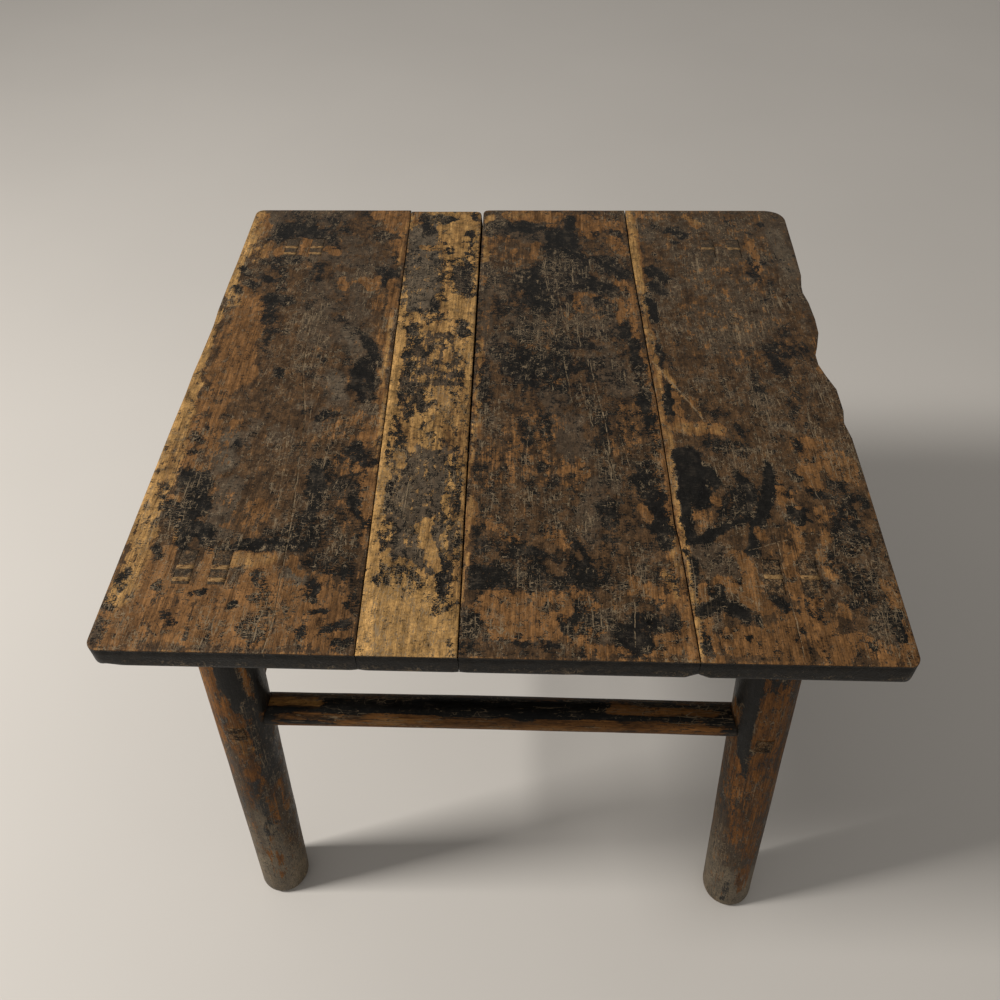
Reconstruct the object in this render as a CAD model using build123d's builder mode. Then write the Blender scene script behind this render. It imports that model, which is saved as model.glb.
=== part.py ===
from build123d import *
import os
from math import radians, tan

# A small square country table: four edge-joined boards on four round legs that lean outwards
# both ways. The legs stand through the top as pairs of wedged tenons, round stretchers are
# coped over the legs, and two battens in tapered dovetails hold the boards flat from below.
#
# Millimetres, +X right, +Y to the back, +Z up. The origin is on the floor, under the middle
# of the top.

# ---- Overall sizes ----
top_width = 620
top_depth = 620
table_height = 560
board_thickness = 23

# ---- Plan of the top ----
corner_radius = 9
worn_corner_radius = 22
upper_arris_chamfer = 1
lower_arris_radius = 3
# Places where the right edge is worn away: middle along Y, length, depth.
worn_bites = [(-48, 28, 3.5), (38, 84, 11), (152, 40, 5)]
bite_mouth_radius = 12

# ---- Seams between the boards: X at the back and the front edge, bow between them, and gap ----
left_seam = {"back": -125, "front": -105, "bow": 0, "gap": 0.5}
middle_seam = {"back": -40.5, "front": -28, "bow": 0, "gap": 1.6}
right_seam = {"back": 126.5, "front": 150, "bow": -2.2, "gap": 0.9}
seam_end_radius = 5
narrow_board_setback = 2.5

# ---- Legs ----
leg_diameter = 56
leg_splay_angle = 3.46
leg_inset_x = 76
leg_inset_y = 80
# The joined frame of legs sits a little to the left under the top.
frame_shift_x = -5
foot_chamfer = 5

# ---- Twin tenons on the legs, through the top ----
tenon_width = 14.5
tenon_length = 35
tenon_space = 14
wedge_depth = 15
wedge_thickness = 4
wedge_tip = 0.8
# Where the wedges stand, from the middle of a tenon along Y. The left legs needed a second
# wedge in each tenon, in front of the first.
wedge_places = {"left": (0, -12.5), "right": (0,)}

# ---- Stretchers: stout ones in front and behind, thinner ones at the sides ----
long_stretcher_diameter = 32
long_stretcher_height = 355
side_stretcher_diameter = 27
side_stretcher_height = 354
shoulder_clearance = 0.3
side_tenon_width = 16
side_tenon_height = 20
stub_tenon_width = 16
stub_tenon_height = 22
stub_end_clearance = 0.3
# How far a tenon is rooted in its stretcher behind the shoulder.
tenon_root = 12
# Two wedges stand one over the other in each side tenon.
side_wedge_spacing = 8.4
side_wedge_depth = 18
side_wedge_thickness = 3

# ---- Battens under the top ----
batten_spacing = 220
batten_height = 15
batten_wide_end = 36
batten_narrow_end = 32
dovetail_depth = 8
dovetail_undercut = 2.5
batten_blind_margin = 42
batten_open_margin = 14
batten_edge_break = 1.5

# ---- Pegs in the seams ----
peg_diameter = 6
peg_length = 44
peg_clearance = 0.3
peg_spacing = 190

# ---- Derived ----
half_width = top_width / 2
half_depth = top_depth / 2
underside_z = table_height - board_thickness
peg_z = underside_z + board_thickness / 2
splay = tan(radians(leg_splay_angle))
leg_radius = leg_diameter / 2
long_stretcher_radius = long_stretcher_diameter / 2
side_stretcher_radius = side_stretcher_diameter / 2
tenon_pitch = tenon_width + tenon_space
seam_reach = half_depth + 1

sides = {"left": -1, "right": 1}
ends = {"front": -1, "back": 1}
corners = [(end, side) for end in ends for side in sides]

os.makedirs("parts", exist_ok=True)


def save(piece, name):
    """Label a finished piece and write it to its own file."""
    piece.part.label = name
    export_step(piece.part, f"parts/{name}.step")


# ---- Where the legs stand ----
def leg_x(side, z):
    """X of a leg's axis at height z."""
    spread = half_width - leg_inset_x + splay * (underside_z - z)
    return frame_shift_x + sides[side] * spread


def leg_y(end, z):
    """Y of a leg's axis at height z."""
    spread = half_depth - leg_inset_y + splay * (underside_z - z)
    return ends[end] * spread


def leg_round(end, side, radius):
    """The round of a leg, longer than the leg both ways."""
    foot = Vector(leg_x(side, 0), leg_y(end, 0), 0)
    head = Vector(leg_x(side, underside_z), leg_y(end, underside_z), underside_z)
    up = (head - foot).normalized()
    with BuildPart() as post:
        with BuildSketch(Plane(origin=foot - up * radius, z_dir=up)):
            Circle(radius)
        extrude(amount=(head - foot).length + 2 * radius)
    return post.part


posts = {corner: leg_round(*corner, leg_radius) for corner in corners}
copes = {corner: leg_round(*corner, leg_radius + shoulder_clearance) for corner in corners}


def tenon_places(end, side):
    """Middles of a leg's two tenons: the outer one, then the inner one."""
    x = leg_x(side, underside_z)
    y = leg_y(end, underside_z)
    out = sides[side] * tenon_pitch / 2
    return {"outer": (x + out, y), "inner": (x - out, y)}


# ---- Wedges in the leg tenons, driven down across the grain of the top ----
leg_wedges = {corner: [] for corner in corners}
for end, side in corners:
    for place, (x, y) in tenon_places(end, side).items():
        with BuildPart() as wedges:
            with BuildSketch(Plane.YZ.offset(x - tenon_width / 2)):
                for offset in wedge_places[side]:
                    middle = y + offset
                    with BuildLine():
                        Polyline(
                            (middle - wedge_thickness / 2, table_height),
                            (middle + wedge_thickness / 2, table_height),
                            (middle + wedge_tip / 2, table_height - wedge_depth),
                            (middle - wedge_tip / 2, table_height - wedge_depth),
                            close=True,
                        )
                    make_face()
            extrude(amount=tenon_width)
        leg_wedges[end, side].append(wedges.part)
        save(wedges, f"tenon_wedges_{end}_{side}_{place}")


# ---- Wedges in the side stretchers' tenons ----
def side_wedge_blanks(end, side):
    """The level wedges of a stretcher's tenon, before their heads are trimmed to the leg."""
    face_y = leg_y(end, side_stretcher_height) + ends[end] * leg_radius
    tip_y = face_y - ends[end] * side_wedge_depth
    head_y = face_y + ends[end] * side_wedge_depth
    half_head = side_wedge_thickness - wedge_tip / 2
    with BuildPart() as blanks:
        with BuildSketch(Plane.YZ.offset(leg_x(side, side_stretcher_height) - side_tenon_width / 2)):
            for step in (-1, 1):
                z = side_stretcher_height + step * side_wedge_spacing / 2
                with BuildLine():
                    Polyline(
                        (tip_y, z - wedge_tip / 2),
                        (head_y, z - half_head),
                        (head_y, z + half_head),
                        (tip_y, z + wedge_tip / 2),
                        close=True,
                    )
                make_face()
        extrude(amount=side_tenon_width)
    return blanks.part


stretcher_wedges = {corner: side_wedge_blanks(*corner) for corner in corners}

for end, side in corners:
    with BuildPart() as trimmed_wedges:
        add(stretcher_wedges[end, side])
        add(posts[end, side], mode=Mode.INTERSECT)
    save(trimmed_wedges, f"stretcher_wedges_{end}_{side}")


# ---- Legs ----
def cut_side_mortise(end, side):
    """The mortise that lets a side stretcher's tenon through the leg."""
    z = side_stretcher_height
    with BuildSketch(Plane.XZ.offset(-leg_y(end, z))) as mortise:
        with Locations((leg_x(side, z), z)):
            Rectangle(side_tenon_width, side_tenon_height)
    extrude(mortise.sketch, amount=leg_diameter, both=True, mode=Mode.SUBTRACT)


def stub_end_x(side):
    """X where a stub mortise ends: the near cheek of the side stretcher's tenon."""
    return leg_x(side, side_stretcher_height) - sides[side] * side_tenon_width / 2


def cut_stub_mortise(end, side):
    """The blind mortise for a front or back stretcher, closed by the side tenon's cheek."""
    z = long_stretcher_height
    with BuildSketch(Plane.YZ.offset(stub_end_x(side))) as mortise:
        with Locations((leg_y(end, z), z)):
            Rectangle(stub_tenon_width, stub_tenon_height)
    extrude(mortise.sketch, amount=-sides[side] * leg_diameter, mode=Mode.SUBTRACT)


for end, side in corners:
    with BuildPart() as leg:
        add(posts[end, side])
        split(bisect_by=Plane.XY, keep=Keep.TOP)
        split(bisect_by=Plane.XY.offset(underside_z), keep=Keep.BOTTOM)
        chamfer(leg.edges().group_by(Axis.Z)[0], foot_chamfer)
        with BuildSketch(Plane.XY.offset(underside_z)):
            with Locations(*tenon_places(end, side).values()):
                Rectangle(tenon_width, tenon_length)
        extrude(amount=board_thickness)
        for wedges in leg_wedges[end, side]:
            add(wedges, mode=Mode.SUBTRACT)
        cut_side_mortise(end, side)
        cut_stub_mortise(end, side)
    save(leg, f"leg_{end}_{side}")


# ---- Front and back stretchers: coped shoulders and blind tenons ----
for end in ends:
    z = long_stretcher_height
    y = leg_y(end, z)
    left_axis_x = leg_x("left", z)
    right_axis_x = leg_x("right", z)
    with BuildPart() as long_stretcher:
        with BuildSketch(Plane.YZ.offset(left_axis_x)):
            with Locations((y, z)):
                Circle(long_stretcher_radius)
        extrude(amount=right_axis_x - left_axis_x)
        for side in sides:
            add(copes[end, side], mode=Mode.SUBTRACT)
        for side in sides:
            tip_x = stub_end_x(side) - sides[side] * stub_end_clearance
            root_x = leg_x(side, z) - sides[side] * (leg_radius + tenon_root)
            with BuildSketch(Plane.YZ.offset(min(tip_x, root_x))):
                with Locations((y, z)):
                    Rectangle(stub_tenon_width, stub_tenon_height)
            extrude(amount=abs(tip_x - root_x))
    save(long_stretcher, f"stretcher_{end}")


# ---- Side stretchers: coped shoulders and wedged tenons through the legs ----
def through_tenon(end, side):
    """A tenon from inside the stretcher to the far side of the leg, trimmed to its round."""
    z = side_stretcher_height
    x = leg_x(side, z)
    axis_y = leg_y(end, z)
    root_y = axis_y - ends[end] * (leg_radius + tenon_root)
    with BuildPart() as outer_half:
        with BuildSketch(Plane.XZ.offset(-axis_y)):
            with Locations((x, z)):
                Rectangle(side_tenon_width, side_tenon_height)
        extrude(amount=-ends[end] * leg_diameter)
        add(posts[end, side], mode=Mode.INTERSECT)
    with BuildPart() as tenon:
        with BuildSketch(Plane.XZ.offset(-root_y)):
            with Locations((x, z)):
                Rectangle(side_tenon_width, side_tenon_height)
        extrude(amount=-ends[end] * (leg_radius + tenon_root))
        add(outer_half.part)
        add(stretcher_wedges[end, side], mode=Mode.SUBTRACT)
    return tenon.part


through_tenons = {corner: through_tenon(*corner) for corner in corners}

for side in sides:
    z = side_stretcher_height
    front_axis_y = leg_y("front", z)
    back_axis_y = leg_y("back", z)
    with BuildPart() as side_stretcher:
        with BuildSketch(Plane.XZ.offset(-front_axis_y)):
            with Locations((leg_x(side, z), z)):
                Circle(side_stretcher_radius)
        extrude(amount=-(back_axis_y - front_axis_y))
        for end in ends:
            add(copes[end, side], mode=Mode.SUBTRACT)
        for end in ends:
            add(through_tenons[end, side])
    save(side_stretcher, f"stretcher_{side}")


# ---- Battens: tapered along their length, with a dovetail along the upper side ----
batten_left_x = -half_width + batten_blind_margin
batten_right_x = half_width - batten_open_margin


def batten_width(x):
    """Width of a batten at x: it is driven in from the right, so it widens to the right."""
    share = (x - batten_left_x) / (batten_right_x - batten_left_x)
    return batten_narrow_end + (batten_wide_end - batten_narrow_end) * share


def batten_section(x, y):
    """Section of a batten at x: a plain bar below the boards, a dovetail inside them."""
    half_bar = batten_width(x) / 2
    half_neck = half_bar - dovetail_undercut
    top_z = underside_z + dovetail_depth
    with BuildSketch(Plane.YZ.offset(x)) as section:
        with BuildLine():
            Polyline(
                (y - half_bar, underside_z - batten_height),
                (y + half_bar, underside_z - batten_height),
                (y + half_bar, underside_z),
                (y + half_neck, underside_z),
                (y + half_bar, top_z),
                (y - half_bar, top_z),
                (y - half_neck, underside_z),
                (y - half_bar, underside_z),
                close=True,
            )
        make_face()
    return section.sketch


def batten_between(start_x, end_x, y):
    """A length of batten, used for the batten and, made longer, for its groove."""
    with BuildPart() as length:
        loft([batten_section(start_x, y), batten_section(end_x, y)], ruled=True)
    return length.part


groove_tools = []
for end in ends:
    y = ends[end] * batten_spacing / 2
    with BuildPart() as batten:
        add(batten_between(batten_left_x, batten_right_x, y))
        lower_edges = batten.edges().group_by(Axis.Z)[0]
        chamfer(lower_edges.filter_by(lambda e: e.length > batten_wide_end), batten_edge_break)
    groove_tools.append(batten_between(batten_left_x, half_width + corner_radius, y))
    save(batten, f"batten_{end}")


# ---- Pegs in the board edges ----
def seam_x(seam, y):
    """X of a seam's middle line at y. The bow is so slight that a parabola fits its arc."""
    across = y / seam_reach
    chord = (seam["back"] + seam["front"]) / 2 + across * (seam["back"] - seam["front"]) / 2
    return chord + seam["bow"] * (1 - across * across)


def place_pegs(seam, radius, length, mode=Mode.ADD):
    """Three level pegs, or their holes, square to a seam."""
    for y in (-peg_spacing, 0, peg_spacing):
        with BuildSketch(Plane.YZ.offset(seam_x(seam, y))) as round_section:
            with Locations((y, peg_z)):
                Circle(radius)
        extrude(round_section.sketch, amount=length / 2, both=True, mode=mode)


for name, seam in (("left", left_seam), ("middle", middle_seam), ("right", right_seam)):
    with BuildPart() as pegs:
        place_pegs(seam, peg_diameter / 2, peg_length)
    save(pegs, f"seam_pegs_{name}")


# ---- Boards ----
def top_outline():
    """Plan of the whole top, with its worn right edge."""
    with BuildLine() as outline:
        here = (half_width, -half_depth)
        for middle, length, depth in worn_bites:
            bite_start = (half_width, middle - length / 2)
            bite_end = (half_width, middle + length / 2)
            Line(here, bite_start)
            ThreePointArc(bite_start, (half_width - depth, middle), bite_end)
            here = bite_end
        Polyline(
            here,
            (half_width, half_depth),
            (-half_width, half_depth),
            (-half_width, -half_depth),
            (half_width, -half_depth),
        )
    make_face(outline.edges())


def seam_line(seam, side_of_seam):
    """One side of a seam, from the front edge of the top to the back edge."""
    shift = side_of_seam * seam["gap"] / 2
    front_end = (seam["front"] + shift, -seam_reach)
    back_end = (seam["back"] + shift, seam_reach)
    if seam["bow"] == 0:
        return Line(front_end, back_end)
    return ThreePointArc(front_end, (seam_x(seam, 0) + shift, 0), back_end)


def board_strip(left, right, back_setback):
    """Plan of one board: the part of the top between two seams, or out to its edge."""
    reach = half_width + 1
    with BuildLine() as strip:
        if left:
            left_line = seam_line(left, 1)
        else:
            left_line = Line((-reach, -seam_reach), (-reach, seam_reach))
        if right:
            right_line = seam_line(right, -1)
        else:
            right_line = Line((reach, -seam_reach), (reach, seam_reach))
        Line(left_line @ 0, right_line @ 0)
        Line(left_line @ 1, right_line @ 1)
    make_face(strip.edges(), mode=Mode.INTERSECT)
    if back_setback:
        with Locations((0, half_depth)):
            Rectangle(top_width, 2 * back_setback, mode=Mode.SUBTRACT)


def on_seam(edge):
    """True for an edge that lies along a seam, where the board stays sharp."""
    middle = edge.center()
    seams = (left_seam, middle_seam, right_seam)
    return any(abs(middle.X - seam_x(seam, middle.Y)) < 2 for seam in seams)


def outer_rim(board, level):
    """The board's edges round the rim of the top, at its upper or lower face."""
    rim = board.edges().group_by(Axis.Z)[level]
    return rim.filter_by(lambda edge: not on_seam(edge))


def cut_leg_mortises(side):
    """Mortises for the tenons of a side's two legs."""
    with BuildSketch(Plane.XY.offset(underside_z)) as mortises:
        for end in ends:
            with Locations(*tenon_places(end, side).values()):
                Rectangle(tenon_width, tenon_length)
    extrude(mortises.sketch, amount=board_thickness, mode=Mode.SUBTRACT)


def cut_grooves():
    """The dovetail grooves for the battens."""
    for groove in groove_tools:
        add(groove, mode=Mode.SUBTRACT)


def cut_peg_holes(seam):
    """Peg holes of one seam, a little larger and longer than the pegs."""
    place_pegs(seam, peg_diameter / 2 + peg_clearance, peg_length + 2 * peg_clearance, Mode.SUBTRACT)


with BuildPart() as top_board_left:
    with BuildSketch(Plane.XY.offset(underside_z)) as plan:
        top_outline()
        board_strip(None, left_seam, 0)
        fillet(plan.vertices().group_by(Axis.X)[0], corner_radius)
    extrude(amount=board_thickness)
    chamfer(outer_rim(top_board_left, -1), upper_arris_chamfer)
    fillet(outer_rim(top_board_left, 0), lower_arris_radius)
    cut_leg_mortises("left")
    cut_grooves()
    cut_peg_holes(left_seam)
save(top_board_left, "top_board_left")

with BuildPart() as top_board_narrow:
    with BuildSketch(Plane.XY.offset(underside_z)) as plan:
        top_outline()
        board_strip(left_seam, middle_seam, narrow_board_setback)
        fillet(plan.vertices().group_by(Axis.Y)[-1], seam_end_radius)
    extrude(amount=board_thickness)
    chamfer(outer_rim(top_board_narrow, -1), upper_arris_chamfer)
    fillet(outer_rim(top_board_narrow, 0), lower_arris_radius)
    cut_grooves()
    cut_peg_holes(left_seam)
    cut_peg_holes(middle_seam)
save(top_board_narrow, "top_board_narrow")

with BuildPart() as top_board_middle:
    with BuildSketch(Plane.XY.offset(underside_z)) as plan:
        top_outline()
        board_strip(middle_seam, right_seam, 0)
        fillet(plan.vertices().group_by(Axis.Y)[-1].sort_by(Axis.X)[0], seam_end_radius)
    extrude(amount=board_thickness)
    chamfer(outer_rim(top_board_middle, -1), upper_arris_chamfer)
    fillet(outer_rim(top_board_middle, 0), lower_arris_radius)
    cut_grooves()
    cut_peg_holes(middle_seam)
    cut_peg_holes(right_seam)
save(top_board_middle, "top_board_middle")

with BuildPart() as top_board_right:
    with BuildSketch(Plane.XY.offset(underside_z)) as plan:
        top_outline()
        board_strip(right_seam, None, 0)
        edge_points = plan.vertices().group_by(Axis.X)[-1].sort_by(Axis.Y)
        fillet(edge_points[1:-1], bite_mouth_radius)
        fillet(plan.vertices().sort_by_distance((half_width, -half_depth))[0], corner_radius)
        fillet(plan.vertices().sort_by_distance((half_width, half_depth))[0], worn_corner_radius)
    extrude(amount=board_thickness)
    chamfer(outer_rim(top_board_right, -1), upper_arris_chamfer)
    fillet(outer_rim(top_board_right, 0), lower_arris_radius)
    cut_leg_mortises("right")
    cut_grooves()
    cut_peg_holes(right_seam)
save(top_board_right, "top_board_right")
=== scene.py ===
"""An old square table in worn black lacquer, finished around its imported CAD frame.

Four boards lie on four round legs that lean outwards both ways. Every piece is modelled here
in table millimetres: +X right, +Y to the back, +Z up, origin on the floor under the top.
"""

import math

import bpy
import numpy as np
from bpy.props import FloatProperty, FloatVectorProperty, PointerProperty
from mathutils import Matrix, Vector, noise


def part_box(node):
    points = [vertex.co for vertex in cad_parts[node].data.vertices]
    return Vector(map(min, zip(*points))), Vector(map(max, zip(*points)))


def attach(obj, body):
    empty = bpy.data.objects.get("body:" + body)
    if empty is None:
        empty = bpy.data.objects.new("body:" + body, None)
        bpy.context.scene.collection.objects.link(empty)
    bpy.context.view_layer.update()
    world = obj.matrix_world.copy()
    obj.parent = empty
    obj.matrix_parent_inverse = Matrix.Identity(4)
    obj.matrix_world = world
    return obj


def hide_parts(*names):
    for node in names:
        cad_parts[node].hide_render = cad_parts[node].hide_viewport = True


bl_info = {
    "name": "Old lacquered table",
    "version": (1, 0, 0),
    "blender": (4, 5, 0),
    "location": "View3D > Sidebar > Old table",
    "description": "Models and finishes an old square table with splayed round legs",
    "category": "Object",
}

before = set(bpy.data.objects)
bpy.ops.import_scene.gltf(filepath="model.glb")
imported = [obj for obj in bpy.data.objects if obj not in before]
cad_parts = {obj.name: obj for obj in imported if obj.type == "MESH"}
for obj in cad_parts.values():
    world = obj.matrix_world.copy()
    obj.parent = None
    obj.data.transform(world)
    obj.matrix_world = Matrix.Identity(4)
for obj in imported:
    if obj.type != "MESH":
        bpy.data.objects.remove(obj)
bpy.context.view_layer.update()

MM = 0.001
SIDES = {"left": -1, "right": 1}
ENDS = {"front": -1, "back": 1}
CORNERS = [(end, side) for end in ENDS for side in SIDES]
SMOOTH_ANGLE = math.radians(38)
# The loops of a sliced box that lie nearer to an edge than this are drawn towards it.
EDGE_REACH = 6
# The part of a wedge that counts as its head, and how much wider and longer its slot is cut.
WEDGE_HEAD = 6
SLOT_EXTRA_WIDTH = 0.3
SLOT_EXTRA_LENGTH = 1.5


def srgb(red, green, blue):
    """A colour given from 0 to 255, as Blender's linear colour."""
    shares = (value / 255 for value in (red, green, blue))
    return tuple(s / 12.92 if s <= 0.04045 else ((s + 0.055) / 1.055) ** 2.4 for s in shares)


# ---- What a user may change ----
def length_setting(name, description, default, least):
    """A length setting, given here in millimetres."""
    return FloatProperty(name=name, description=description, default=default * MM,
                         min=least * MM, unit="LENGTH")


def colour_setting(name, description, *mixed):
    """A colour setting, given here from 0 to 255."""
    return FloatVectorProperty(name=name, description=description, default=srgb(*mixed),
                               subtype="COLOR", min=0, max=1)


class TableShape(bpy.types.PropertyGroup):
    """How far age has worked on the boards and legs."""

    arris_radius: length_setting("Upper arris", "Rounding of the upper outer edges", 0.6, 0.2)
    lower_arris_radius: length_setting(
        "Lower arris", "Rounding of the lower outer edges", 2, 0.5)
    seam_arris_radius: length_setting(
        "Seam arris", "Rounding of the boards' edges along the seams", 0.8, 0.1)
    board_unevenness: length_setting(
        "Unevenness", "Depth of the hollows in the boards", 0.5, 0)
    crack_depth: length_setting("Crack depth", "How deep the drying cracks go", 2.5, 0.2)
    hewn_depth: length_setting(
        "Tool marks", "Depth of the flats left on legs and stretchers", 0.8, 0)
    foot_radius: length_setting("Foot", "Rounding of the worn feet", 8, 1)


class TableColours(bpy.types.PropertyGroup):
    """Colours of the lacquer and of the wood under it."""

    lacquer: colour_setting("Lacquer", "Black lacquer where it is whole", 23, 21, 18)
    film: colour_setting(
        "Film", "Grey-brown film where lacquer and dirt have worn thin", 71, 61, 49)
    brown: colour_setting(
        "Stained wood", "Brown wood that the lacquer has stained", 83, 61, 39)
    orange: colour_setting("Bare wood", "Wood where lacquer has flaked off", 110, 77, 44)
    gold: colour_setting(
        "Scrubbed wood", "Pale wood that has been rubbed for years", 150, 115, 68)
    dust: colour_setting("Dust", "Pale dirt in scratches and crazing", 122, 111, 93)
    end_grain: colour_setting("End grain", "Tenon ends in the top", 76, 60, 43)
    wedge: colour_setting("Wedges", "Hard pale wood of the wedges", 148, 117, 76)


class TableStage(bpy.types.PropertyGroup):
    """Camera, floor and light."""

    lens: FloatProperty(
        name="Lens", description="Focal length on a 36 mm sensor", default=33.70, min=10)
    floor_colour: colour_setting("Floor", "Colour of the plain floor", 205, 199, 191)
    sky_strength: FloatProperty(
        name="Room light", description="Even light from all round", default=0.32, min=0)
    key_power: FloatProperty(
        name="Window light", description="Power of the large soft lamp on the left",
        default=94, min=0, unit="POWER")


# ---- Modelling steps that every piece uses ----
def activate(piece):
    """Leave one piece selected and active."""
    bpy.ops.object.select_all(action="DESELECT")
    piece.select_set(True)
    bpy.context.view_layer.objects.active = piece


def added(operator, **settings):
    """Add a primitive and put its place, turn and size into its mesh."""
    bpy.ops.object.select_all(action="DESELECT")
    operator(**settings)
    piece = bpy.context.active_object
    bpy.ops.object.transform_apply(location=True, rotation=True, scale=True)
    return piece


def block(low, high):
    """A box between two corners, in millimetres."""
    low, high = Vector(low), Vector(high)
    return added(bpy.ops.mesh.primitive_cube_add, size=1,
                 location=(low + high) / 2 * MM, scale=(high - low) * MM)


def round_bar(start, end, radius, sides):
    """A round bar between two points, in millimetres."""
    start, end = Vector(start), Vector(end)
    run = end - start
    return added(bpy.ops.mesh.primitive_cylinder_add, vertices=sides, radius=radius * MM,
                 depth=run.length * MM, location=(start + end) / 2 * MM,
                 rotation=run.to_track_quat("Z", "Y").to_euler())


def points(piece):
    """Where the piece's vertices are, in millimetres."""
    flat = np.empty(len(piece.data.vertices) * 3)
    piece.data.vertices.foreach_get("co", flat)
    return flat.reshape(-1, 3) / MM


def move_points(piece, places):
    """Put the piece's vertices at new places, in millimetres."""
    piece.data.vertices.foreach_set("co", (places * MM).ravel())
    piece.data.update()


def edge_ends(piece):
    """Both ends of each edge, in millimetres."""
    ends = np.empty(len(piece.data.edges) * 2, int)
    piece.data.edges.foreach_get("vertices", ends)
    return points(piece)[ends.reshape(-1, 2)]


def edge_runs(piece):
    """How far each edge runs along X, Y and Z, in millimetres."""
    return abs(np.diff(edge_ends(piece), axis=1)[:, 0])


def face_values(piece, name):
    """Middles, in metres, or normals of the piece's faces."""
    flat = np.empty(len(piece.data.polygons) * 3)
    piece.data.polygons.foreach_get(name, flat)
    return flat.reshape(-1, 3)


def edit(piece, kind, chosen, operator, **settings):
    """Use one edit-mode operator on the chosen vertices, edges or polygons, or on all."""
    kinds = ("vertices", "edges", "polygons")
    for name in kinds:
        members = getattr(piece.data, name)
        picked = np.zeros(len(members), bool)
        if name == kind:
            picked[:] = chosen
        members.foreach_set("select", picked)
    bpy.context.tool_settings.mesh_select_mode = [kind == name for name in kinds]
    activate(piece)
    bpy.ops.object.mode_set(mode="EDIT")
    operator(**settings)
    bpy.ops.object.mode_set(mode="OBJECT")


def slice_along(piece, axis, shares):
    """Divide the piece into equal slices along an axis, in as many goes as there are shares."""
    for share in shares:
        along = np.argmax(edge_runs(piece), axis=1) == axis
        edit(piece, "edges", along, bpy.ops.mesh.subdivide, number_cuts=share - 1)


def divide_long(piece, axis, least, cuts):
    """Divide every edge that runs further than this along an axis."""
    edit(piece, "edges", edge_runs(piece)[:, axis] > least, bpy.ops.mesh.subdivide,
         number_cuts=cuts)


def combine(piece, tools, operation):
    """Cut the tools out of a piece, or join them to it, and remove them."""
    activate(tools[0])
    for tool in tools:
        tool.select_set(True)
    if len(tools) > 1:
        bpy.ops.object.join()
    tool = bpy.context.active_object
    activate(piece)
    step = piece.modifiers.new("combine", "BOOLEAN")
    step.operation = operation
    step.solver = "EXACT" if operation == "UNION" else "MANIFOLD"
    step.object = tool
    bpy.ops.object.modifier_apply(modifier=step.name)
    bpy.data.objects.remove(tool)


def cad_copy(node):
    """A merged copy of a CAD node, to cut with or to work on."""
    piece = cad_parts[node].copy()
    piece.data = piece.data.copy()
    piece.parent = None
    bpy.context.scene.collection.objects.link(piece)
    edit(piece, "vertices", True, bpy.ops.mesh.remove_doubles, threshold=0.01 * MM)
    return piece


def wedge_slots(names, axis, outward):
    """The CAD wedges, drawn out past the tenon's cheeks and end so that they cut clean slots."""
    tools = [cad_copy(name) for name in names]
    for tool in tools:
        place = points(tool)
        middle = (place[:, 0].min() + place[:, 0].max()) / 2
        place[:, 0] += np.sign(place[:, 0] - middle) * SLOT_EXTRA_WIDTH
        reach = place[:, axis] * outward
        head = reach > reach.max() - WEDGE_HEAD
        place[:, axis] += np.where(head, outward * SLOT_EXTRA_LENGTH, 0)
        move_points(tool, place)
    return tools


def smooth_noise(places, size, seed):
    """Soft noise from about -1 to 1 with features of the given size, in millimetres."""
    size = np.broadcast_to(np.asarray(size, float), 3)
    shifted = places / size + seed
    return np.array([noise.noise(row) for row in shifted])


def gathered(depth):
    """Depths below an edge, with the loops near the edge drawn closer to it."""
    return np.where(depth < EDGE_REACH, depth * depth / EDGE_REACH, depth)


def rounded(inward, down, radius):
    """Depths from both faces at a square arris, once the arris is round."""
    across = np.clip(radius - inward, 0, None)
    below = np.clip(radius - down, 0, None)
    reach = np.hypot(across, below)
    share = np.maximum(across, below) / np.where(reach > 0, reach, 1)
    share = np.where(reach > 0, share, 1)
    return (np.where(across > 0, radius - across * share, inward),
            np.where(below > 0, radius - below * share, down))


def stroked(places, strokes, value):
    """Paint strokes over a value: each runs from one point to another, x, y, x, y, with
    its half width and the amount that it leaves, and fades out at its sides."""
    for x1, y1, x2, y2, half_width, amount in strokes:
        start = np.array((x1, y1), float)
        run = np.array((x2, y2), float) - start
        near = ((abs(places - start - run / 2) - abs(run) / 2) < half_width * 1.5).all(axis=1)
        local = places[near] - start
        share = np.clip(local @ run / max(run @ run, 1e-9), 0, 1)
        away = np.hypot(*(local - share[:, None] * run).T)
        t = np.clip((1.4 - away / half_width) / 0.8, 0, 1)
        value[near] += (amount - value[near]) * t * t * (3 - 2 * t)
    return value


def shaken(places, seed):
    """Points moved about a little, so that what is brushed on them has a broken outline."""
    flat = np.column_stack((places, np.zeros(len(places))))
    moved = [smooth_noise(flat, 15, seed + k) * 3.5 + smooth_noise(flat, 5.5, seed + k + 3) * 2
             for k in (0.3, 7.7)]
    return places + np.stack(moved, axis=1)


def brushed_on(places, strokes, **bases):
    """Each kind of wear: what there is of it everywhere, with its strokes over that."""
    return [stroked(places, strokes.get(kind, ()), np.full(len(places), float(base)))
            for kind, base in bases.items()]


def finish_piece(piece, name, materials, node):
    """Name a finished piece, shade it, and let it stand for its CAD node."""
    piece.name = piece.data.name = name
    piece.data.materials.clear()
    for material in materials:
        piece.data.materials.append(material)
    activate(piece)
    bpy.ops.object.shade_smooth_by_angle(angle=SMOOTH_ANGLE)
    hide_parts(node)
    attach(piece, "root")


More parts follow.
